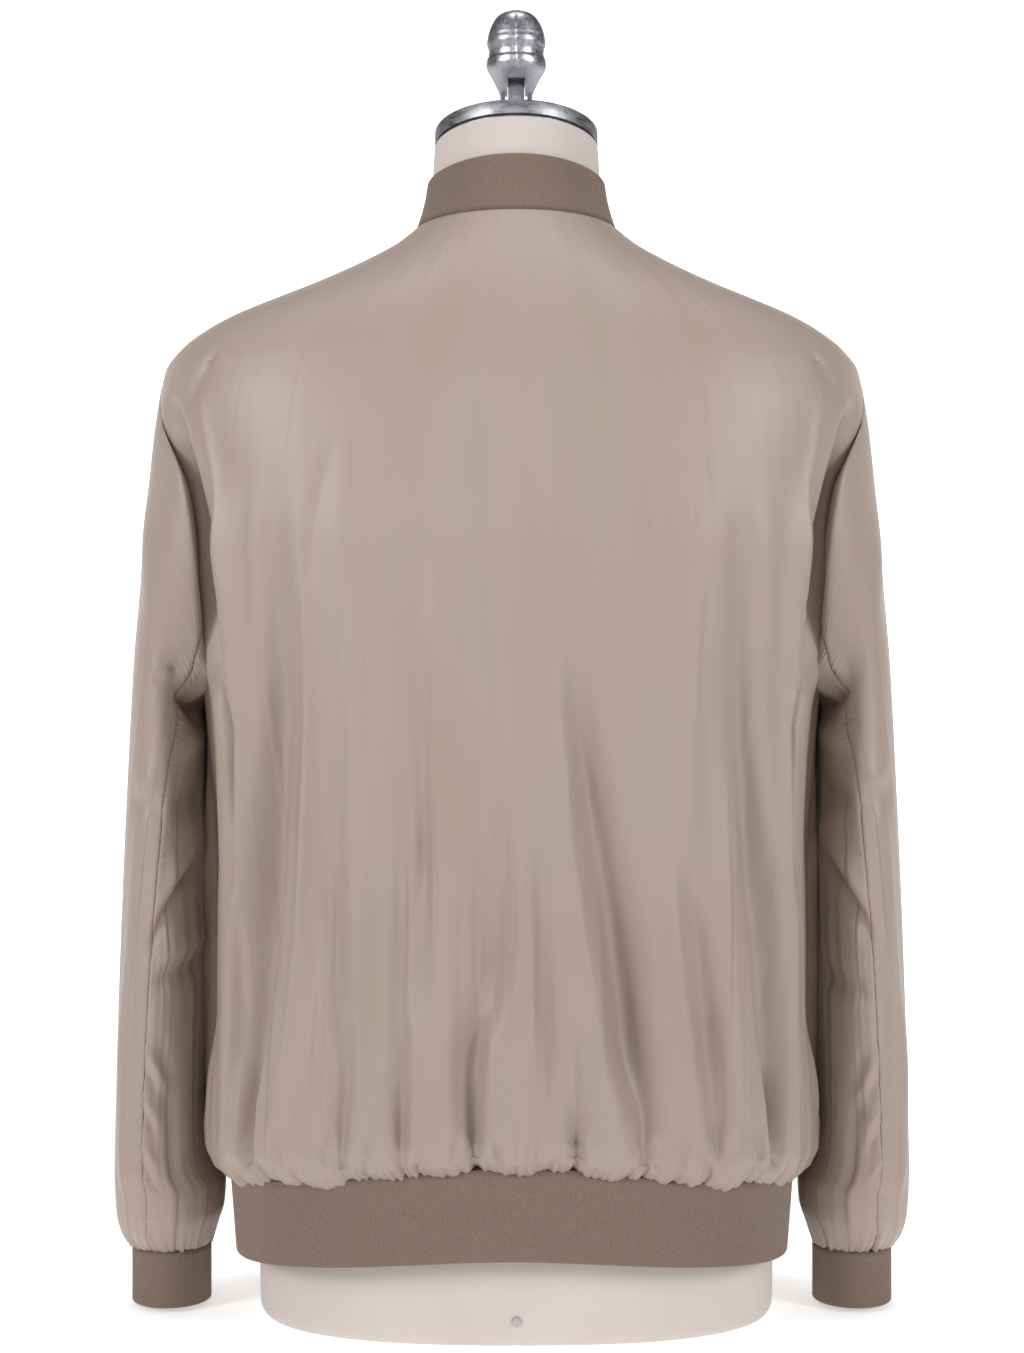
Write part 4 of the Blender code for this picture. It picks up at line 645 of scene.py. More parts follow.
# The hidden front half of each sleeve has folds of the same kind.
SLEEVE_FRONT_TABLE = (
    (SOFT, (340, 420, 0, 8), (300, 416, 2.4, 9), (250, 418, 3.6, 9), (204, 420, 0, 8)),
    (SOFT, (330, 398, 0, 8), (290, 394, -2.6, 8), (240, 396, -2.4, 8), (212, 400, 0, 7)),
    (SOFT, (350, 330, 0, 8), (300, 322, -2.4, 9), (240, 318, -3, 9), (200, 320, 0, 8)),
    (SOFT, (344, 262, 0, 8), (300, 254, 2.4, 9), (250, 252, 2.4, 9), (200, 258, 0, 8)),
    (SOFT, (290, 220, 0, 8), (284, 150, -2.8, 8), (276, 90, -2.6, 7), (274, 66, 0, 6)),
    (SOFT, (320, 560, 0, 10), (300, 500, -1.8, 11), (286, 440, 0, 10)),
    (SOFT, (222, 436, 0, 9), (222, 400, 7, 12), (222, 150, 7, 12), (222, 98, 0, 9)),
    (SOFT, (220, 436, 0, 8), (220, 396, 7, 11), (220, 350, 7, 11), (220, 320, 5, 11),
     (220, 270, 0, 9)),
)
SLEEVE_FOLDS = {
    side: folds_of((*table, *SLEEVE_FRONT_TABLE), lambda place: math.radians(place) * SLEEVE_WAY)
    for side, table in SLEEVE_TABLES.items()
}
SLEEVE_GAIN = 1.5
WRIST_Z = SLEEVE_RINGS[-1][1]
# heights and reaches of what the sleeve's seams and its cuff pinch
SEAM_GROOVE, GROOVE_REACH = 0.9 * MM, 0.0022
SEAM_PUCKER, PUCKER_REACH = 0.36 * MM, 0.0075
CUFF_PUCKER, CUFF_REACH = 0.75 * MM, 0.017
# the sleeve is calm along its inner line, and folds start this many rings below the armhole
INNER_HALF_ANGLE, INNER_CALM, FOLD_START_RINGS = 0.26, 0.85, 1.6


def sleeve_lift(place, ring, z, side):
    way = place * SLEEVE_WAY
    folds = SLEEVE_FOLDS[side]
    lift = fold_lift(way, z, folds) + fold_lift(way - TURN * SLEEVE_WAY, z, folds)
    inner = np.exp(-(((place - math.pi) / INNER_HALF_ANGLE) ** 4))
    lift = SLEEVE_GAIN * lift * (1.0 - INNER_CALM * inner)
    lift *= smoothstep(0.0, FOLD_START_RINGS, ring)
    strength = 0.35 + 0.65 * smoothstep(0.22, 0.16, z)
    pucker = np.sin(z * 420.0 + 1.6 * side) + 0.7 * np.sin(z * 655.0 + 2.4)
    pucker += 0.5 * np.sin(z * 1010.0)
    for seam in (back_seam(ring), np.full_like(place, FRONT_SEAM)):
        away = np.abs(place - seam) * SLEEVE_WAY
        lift -= SEAM_GROOVE * np.exp(-((away / GROOVE_REACH) ** 2))
        lift += SEAM_PUCKER * strength * pucker * np.exp(-away / PUCKER_REACH)
    above = np.maximum(z - WRIST_Z, 0.0)
    wave = np.sin(place * 30.0 + 2.0 * np.sin(place * 3.0 + side))
    wave += 0.8 * np.sin(place * 17.0 + side)
    wave *= 0.6 + 0.4 * np.sin(place * 5.0 + 2.0 * side)
    return lift + CUFF_PUCKER * wave * np.exp(-above / CUFF_REACH)


# rings over which the sleeve leaves the body's edge, and how it spills over the armhole behind
SEAM_RINGS = 0.5
SPILL, SPILL_WAY = 0.011, (-0.90, -1.50, 0.0)


def sleeve_shape(place, ring, side):
    """The outer face of one sleeve's cloth. side is -1 for the wearer's left."""
    def rim(at):
        angle, level = armhole_edge(at)
        if side > 0:
            return body_shape(angle, level)
        return mirrored(body_shape(3.0 * math.pi - angle, level))

    points = sleeve_plain(place, ring)
    pressed = rim(place) - body_plain(*armhole_edge(place))
    at_seam = 1.0 - smoothstep(0.0, SEAM_RINGS, ring)
    points += pressed * at_seam[:, None]
    spill = smoothstep(0.6, 1.2, place) * smoothstep(3.0, 2.6, place)
    spill *= smoothstep(0.0, 0.35, ring) * smoothstep(4.2, 0.7, ring)
    points += np.outer(SPILL * spill, SPILL_WAY)
    lift = sleeve_lift(place, ring, points[:, 2], side)
    points += sleeve_out(place, ring) * lift[:, None]
    points += np.outer(at_seam, (SEAM_GAP, 0.0, -0.5 * SEAM_GAP))
    return points if side > 0 else mirrored(points)


# %% [markdown]
# ## From a flat grid to a sewn panel
# A panel starts as the flat cloth it was cut from: a grid one unit square, made by
# create_grid. Its lowest rows are subdivided, since the gathers there are finer than the folds
# above. Then every vertex is moved to its place on the jacket, the flat place is kept as a UV
# map in metres for the weave to follow, and a Solidify modifier gives the cloth its wall.

# %% Making a panel
CLOTH_WALL = 0.0012


def new_piece(name, bm, material, sharp=None):
    """A smooth-shaded object. Edges that turn by more than sharp degrees stay sharp."""
    mesh = bpy.data.meshes.new(name)
    bm.to_mesh(mesh)
    bm.free()
    mesh.shade_smooth()
    if sharp:
        mesh.set_sharp_from_angle(angle=math.radians(sharp))
    mesh.materials.append(material)
    thing = bpy.data.objects.new(name, mesh)
    bpy.context.scene.collection.objects.link(thing)
    return thing


def close_up(bm):
    """Joins a rolled grid to itself, fills its open rims and turns its faces outwards."""
    bmesh.ops.remove_doubles(bm, verts=bm.verts[:], dist=1e-6)
    rims = [edge for edge in bm.edges if edge.is_boundary]
    bmesh.ops.holes_fill(bm, edges=rims, sides=0)
    bmesh.ops.recalc_face_normals(bm, faces=bm.faces[:])


def flat_grid(columns, rows, fine_share=0.0, cuts=2):
    bm = bmesh.new()
    bmesh.ops.create_grid(bm, x_segments=columns, y_segments=rows, size=0.5)
    bmesh.ops.translate(bm, verts=bm.verts, vec=(0.5, 0.5, 0.0))
    if fine_share > 0.0:
        limit = fine_share + 1e-4
        low = [e for e in bm.edges if max(v.co.y for v in e.verts) < limit
               and abs(e.verts[0].co.y - e.verts[1].co.y) < 1e-6]
        bmesh.ops.subdivide_edges(bm, edges=low, cuts=cuts, use_grid_fill=True)
    return bm


def cloth_from_grid(name, bm, place_vertices, material, wall):
    """Moves a flat grid's vertices to their places and gives it a wall.

    place_vertices(across, up) gives the placed points and their flat places in metres.
    """
    thing = new_piece(name, bm, material)
    mesh = thing.data
    flat = np.zeros(len(mesh.vertices) * 3, np.float32)
    mesh.vertices.foreach_get("co", flat)
    flat = flat.reshape(-1, 3).astype(float)
    placed, flat_u, flat_v = place_vertices(flat[:, 0], flat[:, 1])
    corners = np.zeros(len(mesh.loops), np.int32)
    mesh.loops.foreach_get("vertex_index", corners)
    uv = np.column_stack((flat_u, flat_v))[corners].astype(np.float32)
    mesh.uv_layers.new(name="cloth").data.foreach_set("uv", uv.ravel())
    mesh.vertices.foreach_set("co", placed.astype(np.float32).ravel())
    mesh.update()
    if wall:
        solidify = thing.modifiers.new("wall", "SOLIDIFY")
        solidify.thickness = wall
        solidify.offset = -1.0
    area = sum(face.area for face in mesh.polygons)
    print(name, len(mesh.vertices), "vertices", round(area, 4), "square metres")
    return thing


def crowded(across, places, strengths, reach):
    """Even shares moved so that columns crowd round the places that need them."""
    even = np.linspace(0.0, 1.0, 4001)
    density = np.ones_like(even)
    for place, strength in zip(places, strengths):
        density += strength * np.exp(-(((even - place) / reach) ** 2))
    total = np.concatenate(([0.0], np.cumsum(0.5 * (density[1:] + density[:-1]))))
    return np.interp(across, total / total[-1], even)


# %% [markdown]
# ## Finishes
# A finish is a Principled shader with small-scale detail from noise and waves. Patterns on cloth
# read its own UV map in metres, so they follow the cloth, and those on the form and the metal
# read Object coordinates. Numbers that are the same all over are set on the shader itself.

# %% A small kit for finishes
class Finish:
    """A Principled material. Each bump is laid over the ones made before it."""

    def __init__(self, name, uv=None, **settings):
        self.material = bpy.data.materials.new(name)
        self.material.use_nodes = True
        self.tree = self.material.node_tree
        self.shader = self.tree.nodes["Principled BSDF"]
        for socket, value in settings.items():
            self.shader.inputs[socket.replace("_", " ")].default_value = value
        if uv:
            self.source = self.node("UVMap", uv_map=uv).outputs["UV"]
        else:
            self.source = self.node("TexCoord").outputs["Object"]
        self.normal = None

    def node(self, kind, inputs=(), **settings):
        node = self.tree.nodes.new("ShaderNode" + kind)
        for key, value in settings.items():
            setattr(node, key, value)
        for socket, value in dict(inputs).items():
            if hasattr(value, "is_output"):
                self.tree.links.new(value, node.inputs[socket])
            else:
                node.inputs[socket].default_value = value
        return node

    def feed(self, socket, value):
        self.tree.links.new(value, self.shader.inputs[socket])

    def place(self, stretch=(1.0, 1.0, 1.0)):
        return self.node("Mapping", {"Vector": self.source, "Scale": stretch}).outputs[0]

    def noise(self, scale, stretch=(1.0, 1.0, 1.0), detail=3.0, roughness=0.55):
        inputs = {"Scale": scale, "Detail": detail, "Roughness": roughness}
        return self.node("TexNoise", {"Vector": self.place(stretch), **inputs}).outputs["Fac"]

    def wave(self, direction, **inputs):
        inputs = {socket.replace("_", " "): value for socket, value in inputs.items()}
        inputs["Vector"] = self.place()
        return self.node("TexWave", inputs, bands_direction=direction).outputs["Fac"]

    def calc(self, operation, *values):
        return self.node("Math", dict(enumerate(values)), operation=operation).outputs[0]

    def remap(self, value, low, high, at_low, at_high, how="SMOOTHSTEP"):
        ends = {"From Min": low, "From Max": high, "To Min": at_low, "To Max": at_high}
        changed = self.node("MapRange", {"Value": value, **ends}, interpolation_type=how)
        return changed.outputs["Result"]

    def colour(self, value, *stops):
        """The base colour, from a ramp through (position, linear colour) stops."""
        ramp = self.node("ValToRGB", {"Fac": value})
        while len(ramp.color_ramp.elements) < len(stops):
            ramp.color_ramp.elements.new(0.5)
        for element, (position, colour) in zip(ramp.color_ramp.elements, stops):
            element.position = position
            element.color = (*colour, 1.0)
        self.feed("Base Color", ramp.outputs["Color"])

    def bump(self, height, strength, distance):
        inputs = {"Height": height, "Strength": strength, "Distance": distance}
        if self.normal is not None:
            inputs["Normal"] = self.normal
        self.normal = self.node("Bump", inputs).outputs["Normal"]
        self.feed("Normal", self.normal)


# %% Satin
# metres above the hem between which the hanging streaks fade
STREAKS_FADE = (0.20, 0.46)
SEAM_WIDTH = 0.005


def make_satin():
    satin = Finish("satin", "cloth", Roughness=0.46, Specular_IOR_Level=0.45, Sheen_Weight=0.05,
                   Sheen_Roughness=0.45, Sheen_Tint=(0.95, 0.88, 0.80, 1.0))
    satin.colour(satin.noise(14.0, (1.0, 0.32, 1.0), detail=2.0),
                 (0.30, (0.358, 0.273, 0.225)), (0.52, (0.368, 0.288, 0.243)),
                 (0.72, (0.354, 0.284, 0.231)))
    satin.bump(satin.noise(1500.0, (1.0, 0.16, 1.0), detail=2.0), 0.10, 0.0002)
    flat = satin.node("SeparateXYZ", {"Vector": satin.source}).outputs
    low_down = satin.remap(flat["Y"], *STREAKS_FADE, 1.0, 0.12)
    hanging = satin.noise(34.0, (1.0, 0.10, 1.0), detail=2.0)
    satin.bump(satin.calc("MULTIPLY", hanging, low_down), 1.0, 0.0056)
    drawn = satin.remap(satin.noise(66.0, (1.0, 0.045, 1.0), detail=1.0), 0.50, 0.70, 0.0, 1.0)
    satin.bump(satin.calc("MULTIPLY", drawn, low_down), 1.0, 0.0010)
    satin.bump(satin.noise(150.0, (1.0, 0.04, 1.0)), 1.0, 0.0003)
    # small tucks that die away from the seams: how far from one, their stretch, reach and height
    for away, stretch, reach, height in (("Y", (1.0, 0.22, 1.0), 0.010, 0.0016),
                                         ("X", (0.22, 1.0, 1.0), 0.007, 0.0010)):
        tucks = satin.noise(230.0, stretch, detail=2.0)
        beyond = satin.calc("SUBTRACT", flat[away], SEAM_WIDTH)
        fade = satin.calc("EXPONENT", satin.calc("MULTIPLY", beyond, -1.0 / reach))
        satin.bump(satin.calc("MULTIPLY", tucks, fade), 1.0, height)
    return satin.material


# %% Ribbed knit
def make_rib():
    rib = Finish("rib", "cloth", Roughness=0.88, Specular_IOR_Level=0.25, Sheen_Weight=0.30,
                 Sheen_Roughness=0.5, Sheen_Tint=(0.9, 0.82, 0.72, 1.0))
    rib.colour(rib.noise(1100.0), (0.25, (0.160, 0.112, 0.085)), (0.50, (0.192, 0.137, 0.106)),
               (0.75, (0.228, 0.166, 0.130)))
    stitches = rib.wave("Y", Scale=185.0, Distortion=9.0, Detail=3.0, Detail_Scale=6.0)
    rib.bump(stitches, 0.10, 0.0003)
    rib.bump(rib.noise(900.0), 0.25, 0.0003)
    return rib.material


# %% Linen and zip tape
def make_linen():
    linen = Finish("linen", Roughness=0.93, Specular_IOR_Level=0.3, Sheen_Weight=0.12)
    linen.colour(linen.noise(9.0), (0.30, (0.590, 0.525, 0.488)), (0.70, (0.640, 0.575, 0.535)))
    for threads in ((1.0, 1.0, 0.06), (0.06, 0.06, 1.0)):
        linen.bump(linen.noise(1300.0, threads, detail=2.0), 0.25, 0.0003)
    return linen.material


def make_zip_tape():
    tape = Finish("zip_tape", "cloth", Roughness=0.85, Sheen_Weight=0.15)
    tape.colour(tape.noise(600.0), (0.3, (0.17, 0.13, 0.10)), (0.7, (0.25, 0.195, 0.15)))
    tape.bump(tape.wave("DIAGONAL", Scale=320.0), 0.4, 0.0003)
    return tape.material


# %% Cast and machined metal
def make_metal(name, dark, light, roughness, bump, stretch=(1.0, 1.0, 1.0)):
    metal = Finish(name, Metallic=1.0, Specular_Tint=(0.40, 0.40, 0.43, 1.0))
    grain = metal.noise(420.0, stretch, detail=5.0, roughness=0.65)
    metal.colour(grain, (0.32, dark), (0.68, light))
    gloss = metal.remap(grain, 0.3, 0.7, roughness - 0.10, roughness + 0.14, "LINEAR")
    metal.feed("Roughness", gloss)
    metal.bump(grain, 0.5 * bump, 0.0006)
    metal.bump(metal.noise(190.0), bump, 0.0012)
    return metal.material


satin = make_satin()
rib = make_rib()
linen = make_linen()
cast_metal = make_metal("cast_metal", (0.40, 0.40, 0.425), (0.56, 0.56, 0.60), 0.36, 0.22)
turned_metal = make_metal("turned_metal", (0.26, 0.26, 0.28), (0.44, 0.44, 0.47), 0.42, 0.22,
                          stretch=(0.22, 0.22, 1.0))
zip_metal = make_metal("zip_metal", (0.42, 0.40, 0.36), (0.60, 0.57, 0.52), 0.26, 0.08)
zip_tape = make_zip_tape()
print("finishes", [material.name for material in bpy.data.materials])

# %% [markdown]
# ## The back and the two fronts
# The columns of a panel run between its side edges, which follow the side seam, then the
# armhole, then the shoulder seam. The rows are closest at the hem, and they follow the armhole's
# own curve beside it, so that the sleeve's edge and the body's edge run together.

# %% Rows and columns of the body
def armhole_rows(count):
    places = np.pi * (1.0 - np.arange(count + 1) / count)
    return armhole_edge(places)[1]


HEM_ROWS, LOWER_ROWS, ARMHOLE_ROWS, UPPER_ROWS = 22, 36, 44, 46
FINE_TOP_LEVEL = 0.1120
ROW_LEVELS = np.concatenate((
    np.linspace(HEM_LEVEL, FINE_TOP_LEVEL, HEM_ROWS + 1)[:-1],
    np.linspace(FINE_TOP_LEVEL, ARMHOLE_LOW, LOWER_ROWS + 1)[:-1],
    armhole_rows(ARMHOLE_ROWS)[:-1],
    np.linspace(ARMHOLE_HIGH, NECK_LEVEL, UPPER_ROWS + 1),
))
BODY_ROWS = len(ROW_LEVELS) - 1
ROW_SHARES = np.linspace(0.0, 1.0, BODY_ROWS + 1)
FINE_SHARE = HEM_ROWS / BODY_ROWS


def side_edge(level, behind):
    """Angle ahead of the side at which a panel ends."""
    middle = 0.5 * (ARMHOLE_LOW + ARMHOLE_HIGH)
    share = np.clip((level - middle) / (0.5 * (ARMHOLE_HIGH - ARMHOLE_LOW)), -1.0, 1.0)
    spread = ARMHOLE_SPREAD * np.sin(np.arccos(share))
    return SIDE_TURN - spread if behind else SIDE_TURN + spread


def even_between(first, last, share):
    ways = way_of(first) + (way_of(last) - way_of(first)) * share
    return np.interp(ways, ROUND_WAYS, ROUND_ANGLES)


def back_angles(level, share):
    edge = side_edge(level, True)
    return even_between(math.pi - edge, TURN + edge, share)


def front_edge(level, x):
    return 0.5 * math.pi - np.arctan(x / read_body(level)[:, 2])


def front_right_angles(level, share):
    first, last = side_edge(level, False), front_edge(level, FRONT_HALF_GAP)
    return even_between(TURN + first, TURN + last, share)


def front_left_angles(level, share):
    return 3.0 * math.pi - front_right_angles(level, 1.0 - share)


# Steep folds need more columns, as the gathers do.
STEEP_WAYS = (-0.212, -0.200, -0.192, -0.140, -0.132, 0.045, 0.056, 0.066, 0.190, 0.200, 0.212)
STEEP_CROWDING = 1.6
CROWDING_REACH = 0.006
USUAL_RADIUS = 0.20


def body_panel(name, columns, angles_at, gap_first, gap_last):
    ends = way_of(angles_at(np.full(2, HEM_LEVEL), np.array((0.0, 1.0))))
    drawn = [((gather[0] - start - ends[0]) / (ends[1] - ends[0]), 0.5 * gather[1])
             for gather in gathers for start in (0.0, -2.0 * HALF_ROUND)]
    drawn += [((way - ends[0]) / (ends[1] - ends[0]), STEEP_CROWDING) for way in STEEP_WAYS]
    reach = CROWDING_REACH / (ends[1] - ends[0])

    def place_vertices(across, up):
        level = np.interp(up, ROW_SHARES, ROW_LEVELS)
        angle = angles_at(level, crowded(across, *zip(*drawn), reach))
        half_gap = 0.5 * SEAM_GAP / USUAL_RADIUS
        angle += half_gap * (gap_first * (across < 1e-6) - gap_last * (across > 1.0 - 1e-6))
        return body_shape(angle, level), 2.0 + way_of(angle), level - HEM_LEVEL

    bm = flat_grid(columns, BODY_ROWS, FINE_SHARE)
    return cloth_from_grid(name, bm, place_vertices, satin, CLOTH_WALL)


# %% Sew the back and the fronts
BACK_COLUMNS, FRONT_COLUMNS = 250, 96
back = body_panel("back_cloth", BACK_COLUMNS, back_angles, 1, 1)
front_right = body_panel("front_right_cloth", FRONT_COLUMNS, front_right_angles, 1, 0)
front_left = body_panel("front_left_cloth", FRONT_COLUMNS, front_left_angles, 0, 1)


def dress(piece, node):
    """Ties a piece to the body and hides the CAD node it stands for."""
    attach(piece, JACKET_BODY)
    if node:
        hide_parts(node)


def finish_sheet(piece, node):
    dress(piece, node)


finish_sheet(back, "back")
finish_sheet(front_right, "front_right")
finish_sheet(front_left, "front_left")

# %% [markdown]
# ## The sleeves
# A two-piece sleeve has a wide top piece and a narrow under piece, joined by a seam behind and
# one ahead. Both are patches of the same tube. The seam behind starts low on the armhole and
# wanders outwards to the cuff, so its place is a table too.

# %% Rows of the sleeves
SLEEVE_ROWS = 150
SLEEVE_FINE_ROWS = 26
SLEEVE_INSET = 0.0002
_rings = np.linspace(0.0, LAST_RING, 400)
_length = lengths_along(sleeve_plain(np.full(400, 0.5 * math.pi), _rings))
SLEEVE_LENGTH = float(_length[-1])
_even = np.interp(np.linspace(0.0, SLEEVE_LENGTH, SLEEVE_ROWS + 1), _length, _rings)
RING_OF_ROW = _even[::-1]
print("sleeve length behind", round(SLEEVE_LENGTH, 3), "m")


def sleeve_panel(name, side, columns, first_at, last_at):
    def place_vertices(across, up):
        ring = np.interp(up, np.linspace(0.0, 1.0, SLEEVE_ROWS + 1), RING_OF_ROW)
        first, last = first_at(ring), last_at(ring)
        inset = SLEEVE_INSET / SLEEVE_WAY
        share = crowded(across, (0.0, 1.0), (2.0, 2.0), 0.08)
        place = (first + inset) + (last - first - 2.0 * inset) * share
        from_seam = np.abs(place - back_seam(ring)) * SLEEVE_WAY
        return sleeve_shape(place, ring, side), from_seam, up * SLEEVE_LENGTH

    bm = flat_grid(columns, SLEEVE_ROWS, SLEEVE_FINE_ROWS / SLEEVE_ROWS, cuts=1)
    if side > 0:
        bmesh.ops.reverse_faces(bm, faces=bm.faces[:])
    return cloth_from_grid(name, bm, place_vertices, satin, CLOTH_WALL)


# %% Sew the sleeves
TOP_SLEEVE_SIZE = (0.300, 0.620)
UNDER_SLEEVE_SIZE = (0.160, 0.470)
for side, side_name in ((-1, "left"), (1, "right")):
    top = sleeve_panel(
        f"sleeve_{side_name}_top_cloth", side, 96,
        lambda ring: np.full_like(ring, FRONT_SEAM - TURN), back_seam,
    )
    under = sleeve_panel(
        f"sleeve_{side_name}_under_cloth", side, 56,
        back_seam, lambda ring: np.full_like(ring, FRONT_SEAM),
    )
    for piece, name, size, area in ((top, "top", TOP_SLEEVE_SIZE, 0.105),
                                    (under, "under", UNDER_SLEEVE_SIZE, 0.050)):
        finish_sheet(piece, f"sleeve_{side_name}_{name}")

# %% [markdown]
# ## Ribbed collar, hem band and cuffs
# Rib knit is a row of upright cords about 1.6 mm apart. A bump map alone would leave the edges
# flat, so each cord is made in the mesh: the columns run four to a cord and rise and fall with
# it. The knit is folded double along its free edge and both layers are sewn into the seam, so
# the grid is rolled round the band's whole cross-section: up its outer face and down its inner.

# %% The bands' surfaces
RIB_PITCH = 0.0016
RIB_DEPTH = 0.00036
RIB_WALL = 0.0023
COLUMNS_PER_RIB = 4
# half width, depth behind, depth ahead, squareness, height at the side, behind and ahead
HEM_BOTTOM = (0.1845, 0.1370, 0.1262, 3.0, 0.0445, 0.0580, 0.0480)
COLLAR_TOP = (0.0602, 0.0650, 0.0560, 2.1, 0.7590, 0.7680, 0.7285)
COLLAR_BOW = 0.0012
BAND_SET_IN = 0.0008


def band_edge(angle, edge, centre_x):
    half_width, back, front, squareness, side_z, back_z, front_z = edge
    facing = np.sin(angle)
    z = side_z + (np.where(facing > 0.0, front_z, back_z) - side_z) * facing**2
    points = oval_points(angle, half_width, back, front, squareness, z)
    points[:, 0] += centre_x
    return points


def hem_band_shape(angle, share):
    """From the band's bottom (share 0) to the hem seam (share 1)."""
    top = body_plain(angle, np.full_like(angle, HEM_LEVEL))
    out = body_out(angle, np.full_like(angle, HEM_LEVEL)) * (1.0, 1.0, 0.0)
    top += unit(out) * (hem_ease(0.0) - BAND_SET_IN)
    top[:, 2] -= hem_droop(way_of(angle), np.zeros_like(angle)) + SEAM_GAP
    bottom = band_edge(angle, HEM_BOTTOM, JACKET_SHIFT)
    return bottom + (top - bottom) * share[:, None]


def collar_shape(angle, share):
    """From the neck seam (share 0) to the collar's top edge (share 1)."""
    bottom = body_plain(angle, np.full_like(angle, NECK_LEVEL))
    bottom[:, 2] += SEAM_GAP
    points = bottom + (band_edge(angle, COLLAR_TOP, 0.0) - bottom) * share[:, None]
    bow = COLLAR_BOW * np.sin(np.pi * share)
    outwards = np.column_stack((np.cos(angle), np.sin(angle), np.zeros_like(angle)))
    return points - outwards * bow[:, None]


def cuff_shape(angle, share):
    x = CUFF_CENTRE_X + CUFF_HALF[0] * np.cos(angle)
    y = CUFF_HALF[1] * np.sin(angle)
    return np.column_stack((x, y, CUFF_Z[0] + (CUFF_Z[1] - CUFF_Z[0]) * share))


def folded_profile(height, fold_at_top=False):
    """(height share, depth share, out, up) round a band's cross-section, from its bottom."""
    radius = 0.5 * RIB_WALL
    fold = [(radius * (1.0 - math.cos(turn)) / height, 0.5 * (1.0 - math.sin(turn)),
             math.sin(turn), -math.cos(turn)) for turn in np.radians((0, 30, 60, 90))]
    outer = fold + [(share, 0.0, 1.0, 0.0) for share in (0.10, 0.35, 0.65, 0.90)]
    outer += [(0.999, 0.0, 0.6, 0.0), (1.0, 0.5, 0.0, 0.0)]
    if fold_at_top:
        outer = [(1.0 - share, depth, out, -up) for share, depth, out, up in reversed(outer)]
    inner = [(share, 1.0 - depth, -out, up) for share, depth, out, up in reversed(outer)]
    return np.array(outer + inner[1:])


# %% Knit a band round its surface
def knit_band(name, surface, angles, height, fold_at_top, flip=False):
    """One folded band of rib along surface(angle, share)."""
    line = surface(angles, np.full(len(angles), 0.5))
    lengths = lengths_along(line)
    ribs = int(round(lengths[-1] / RIB_PITCH))
    profile = folded_profile(height, fold_at_top)
    steps = np.linspace(0.0, 1.0, len(profile))

    def place_vertices(across, up):
        share, depth, out, rise = (np.interp(up, steps, column) for column in profile.T)
        angle = np.interp(across * lengths[-1], lengths, angles)
        points = surface(angle, share)
        away = facing_out(surface, angle, np.clip(share, 0.03, 0.97), 0.01, 0.02)
        away[:, 2] = 0.0
        ripple = 0.5 * RIB_DEPTH * (np.cos(TURN * across * ribs) - 1.0)
        points += unit(away) * (ripple * out - depth * RIB_WALL)[:, None]
        points[:, 2] += ripple * rise
        return mirrored(points) if flip else points, across * lengths[-1], 2.0 * height * up

    bm = flat_grid(ribs * COLUMNS_PER_RIB, len(profile) - 1)
    band = cloth_from_grid(name, bm, place_vertices, rib, None)
    bm = bmesh.new()
    bm.from_mesh(band.data)
    close_up(bm)
    bm.to_mesh(band.data)
    bm.free()
    print(name, ribs, "ribs")
    return band, (round(float(lengths[-1]), 3), height)


def front_to_front(level, steps=3000):
    """Angles from the left front edge round the back to the right one."""
    edge = float(front_edge(np.array([level]), FRONT_HALF_GAP)[0])
    return np.linspace(math.pi - edge, TURN + edge, steps)


CUFF_CENTRE_X = 0.2311 + JACKET_SHIFT
CUFF_HALF = (0.0266, 0.0330)
CUFF_Z = (0.0030, WRIST_Z - SEAM_GAP)
HEM_BAND_HEIGHT, COLLAR_HEIGHT = 0.046, 0.038
hem_band, hem_size = knit_band("hem_band_knit", hem_band_shape, front_to_front(HEM_LEVEL),
                               HEM_BAND_HEIGHT, False)
collar, collar_size = knit_band("collar_knit", collar_shape, front_to_front(NECK_LEVEL),
                                COLLAR_HEIGHT, True)
finish_sheet(hem_band, "hem_rib")
finish_sheet(collar, "collar_rib")
for side, side_name in ((-1, "left"), (1, "right")):
    cuff, cuff_size = knit_band(f"cuff_{side_name}_knit", cuff_shape, np.linspace(0.0, TURN, 800),
                                CUFF_Z[1] - CUFF_Z[0], False, flip=side < 0)
    finish_sheet(cuff, f"cuff_{side_name}")

# %% [markdown]
# ## The dress form
# The form is a padded shape covered in linen. Its shoulders lie just under the jacket, which
# carries the cloth. It is built from rings like the body, and closed at both ends. The linen is
# sewn down the middle of the back, which shows as a fine groove on the neck and on the base.

# %% Rings of the form
FORM_AROUND = 128
FORM_CLEARANCE = 0.0014
SOLID_CLOTH_WALL = 0.0015
SOLID_RIB_WALL = 0.0026
NECK_CLEARANCE = 0.0010
NECK_CENTRE_Y = -0.004
NECK_TOP_RADIUS = 0.0553
CAP_TILT = math.radians(11.6)
CAP_SEAT_Z = 0.7815
# height, half width, depth behind, depth ahead, squareness
FORM_SECTIONS = (
    (0.000, 0.1690, 0.1130, 0.1090, 2.5), (0.003, 0.1715, 0.1155, 0.1115, 2.5),
    (0.009, 0.1727, 0.1168, 0.1127, 2.5), (0.044, 0.1730, 0.1185, 0.1140, 2.5),
    (0.104, 0.1700, 0.1200, 0.1130, 2.5), (0.174, 0.1630, 0.1150, 0.1080, 2.45),
    (0.244, 0.1560, 0.1080, 0.1010, 2.4), (0.314, 0.1550, 0.1060, 0.1000, 2.4),
    (0.384, 0.1620, 0.1100, 0.1060, 2.4), (0.454, 0.1720, 0.1180, 0.1130, 2.4),
    (0.514, 0.1800, 0.1230, 0.1120, 2.4), (0.564, 0.1900, 0.1230, 0.1040, 2.4),
    (0.599, 0.2020, 0.1210, 0.0950, 2.4),
)
SEATED_LEVELS = (0.6440, 0.6590, 0.6730, 0.6870, 0.7010, 0.7150)
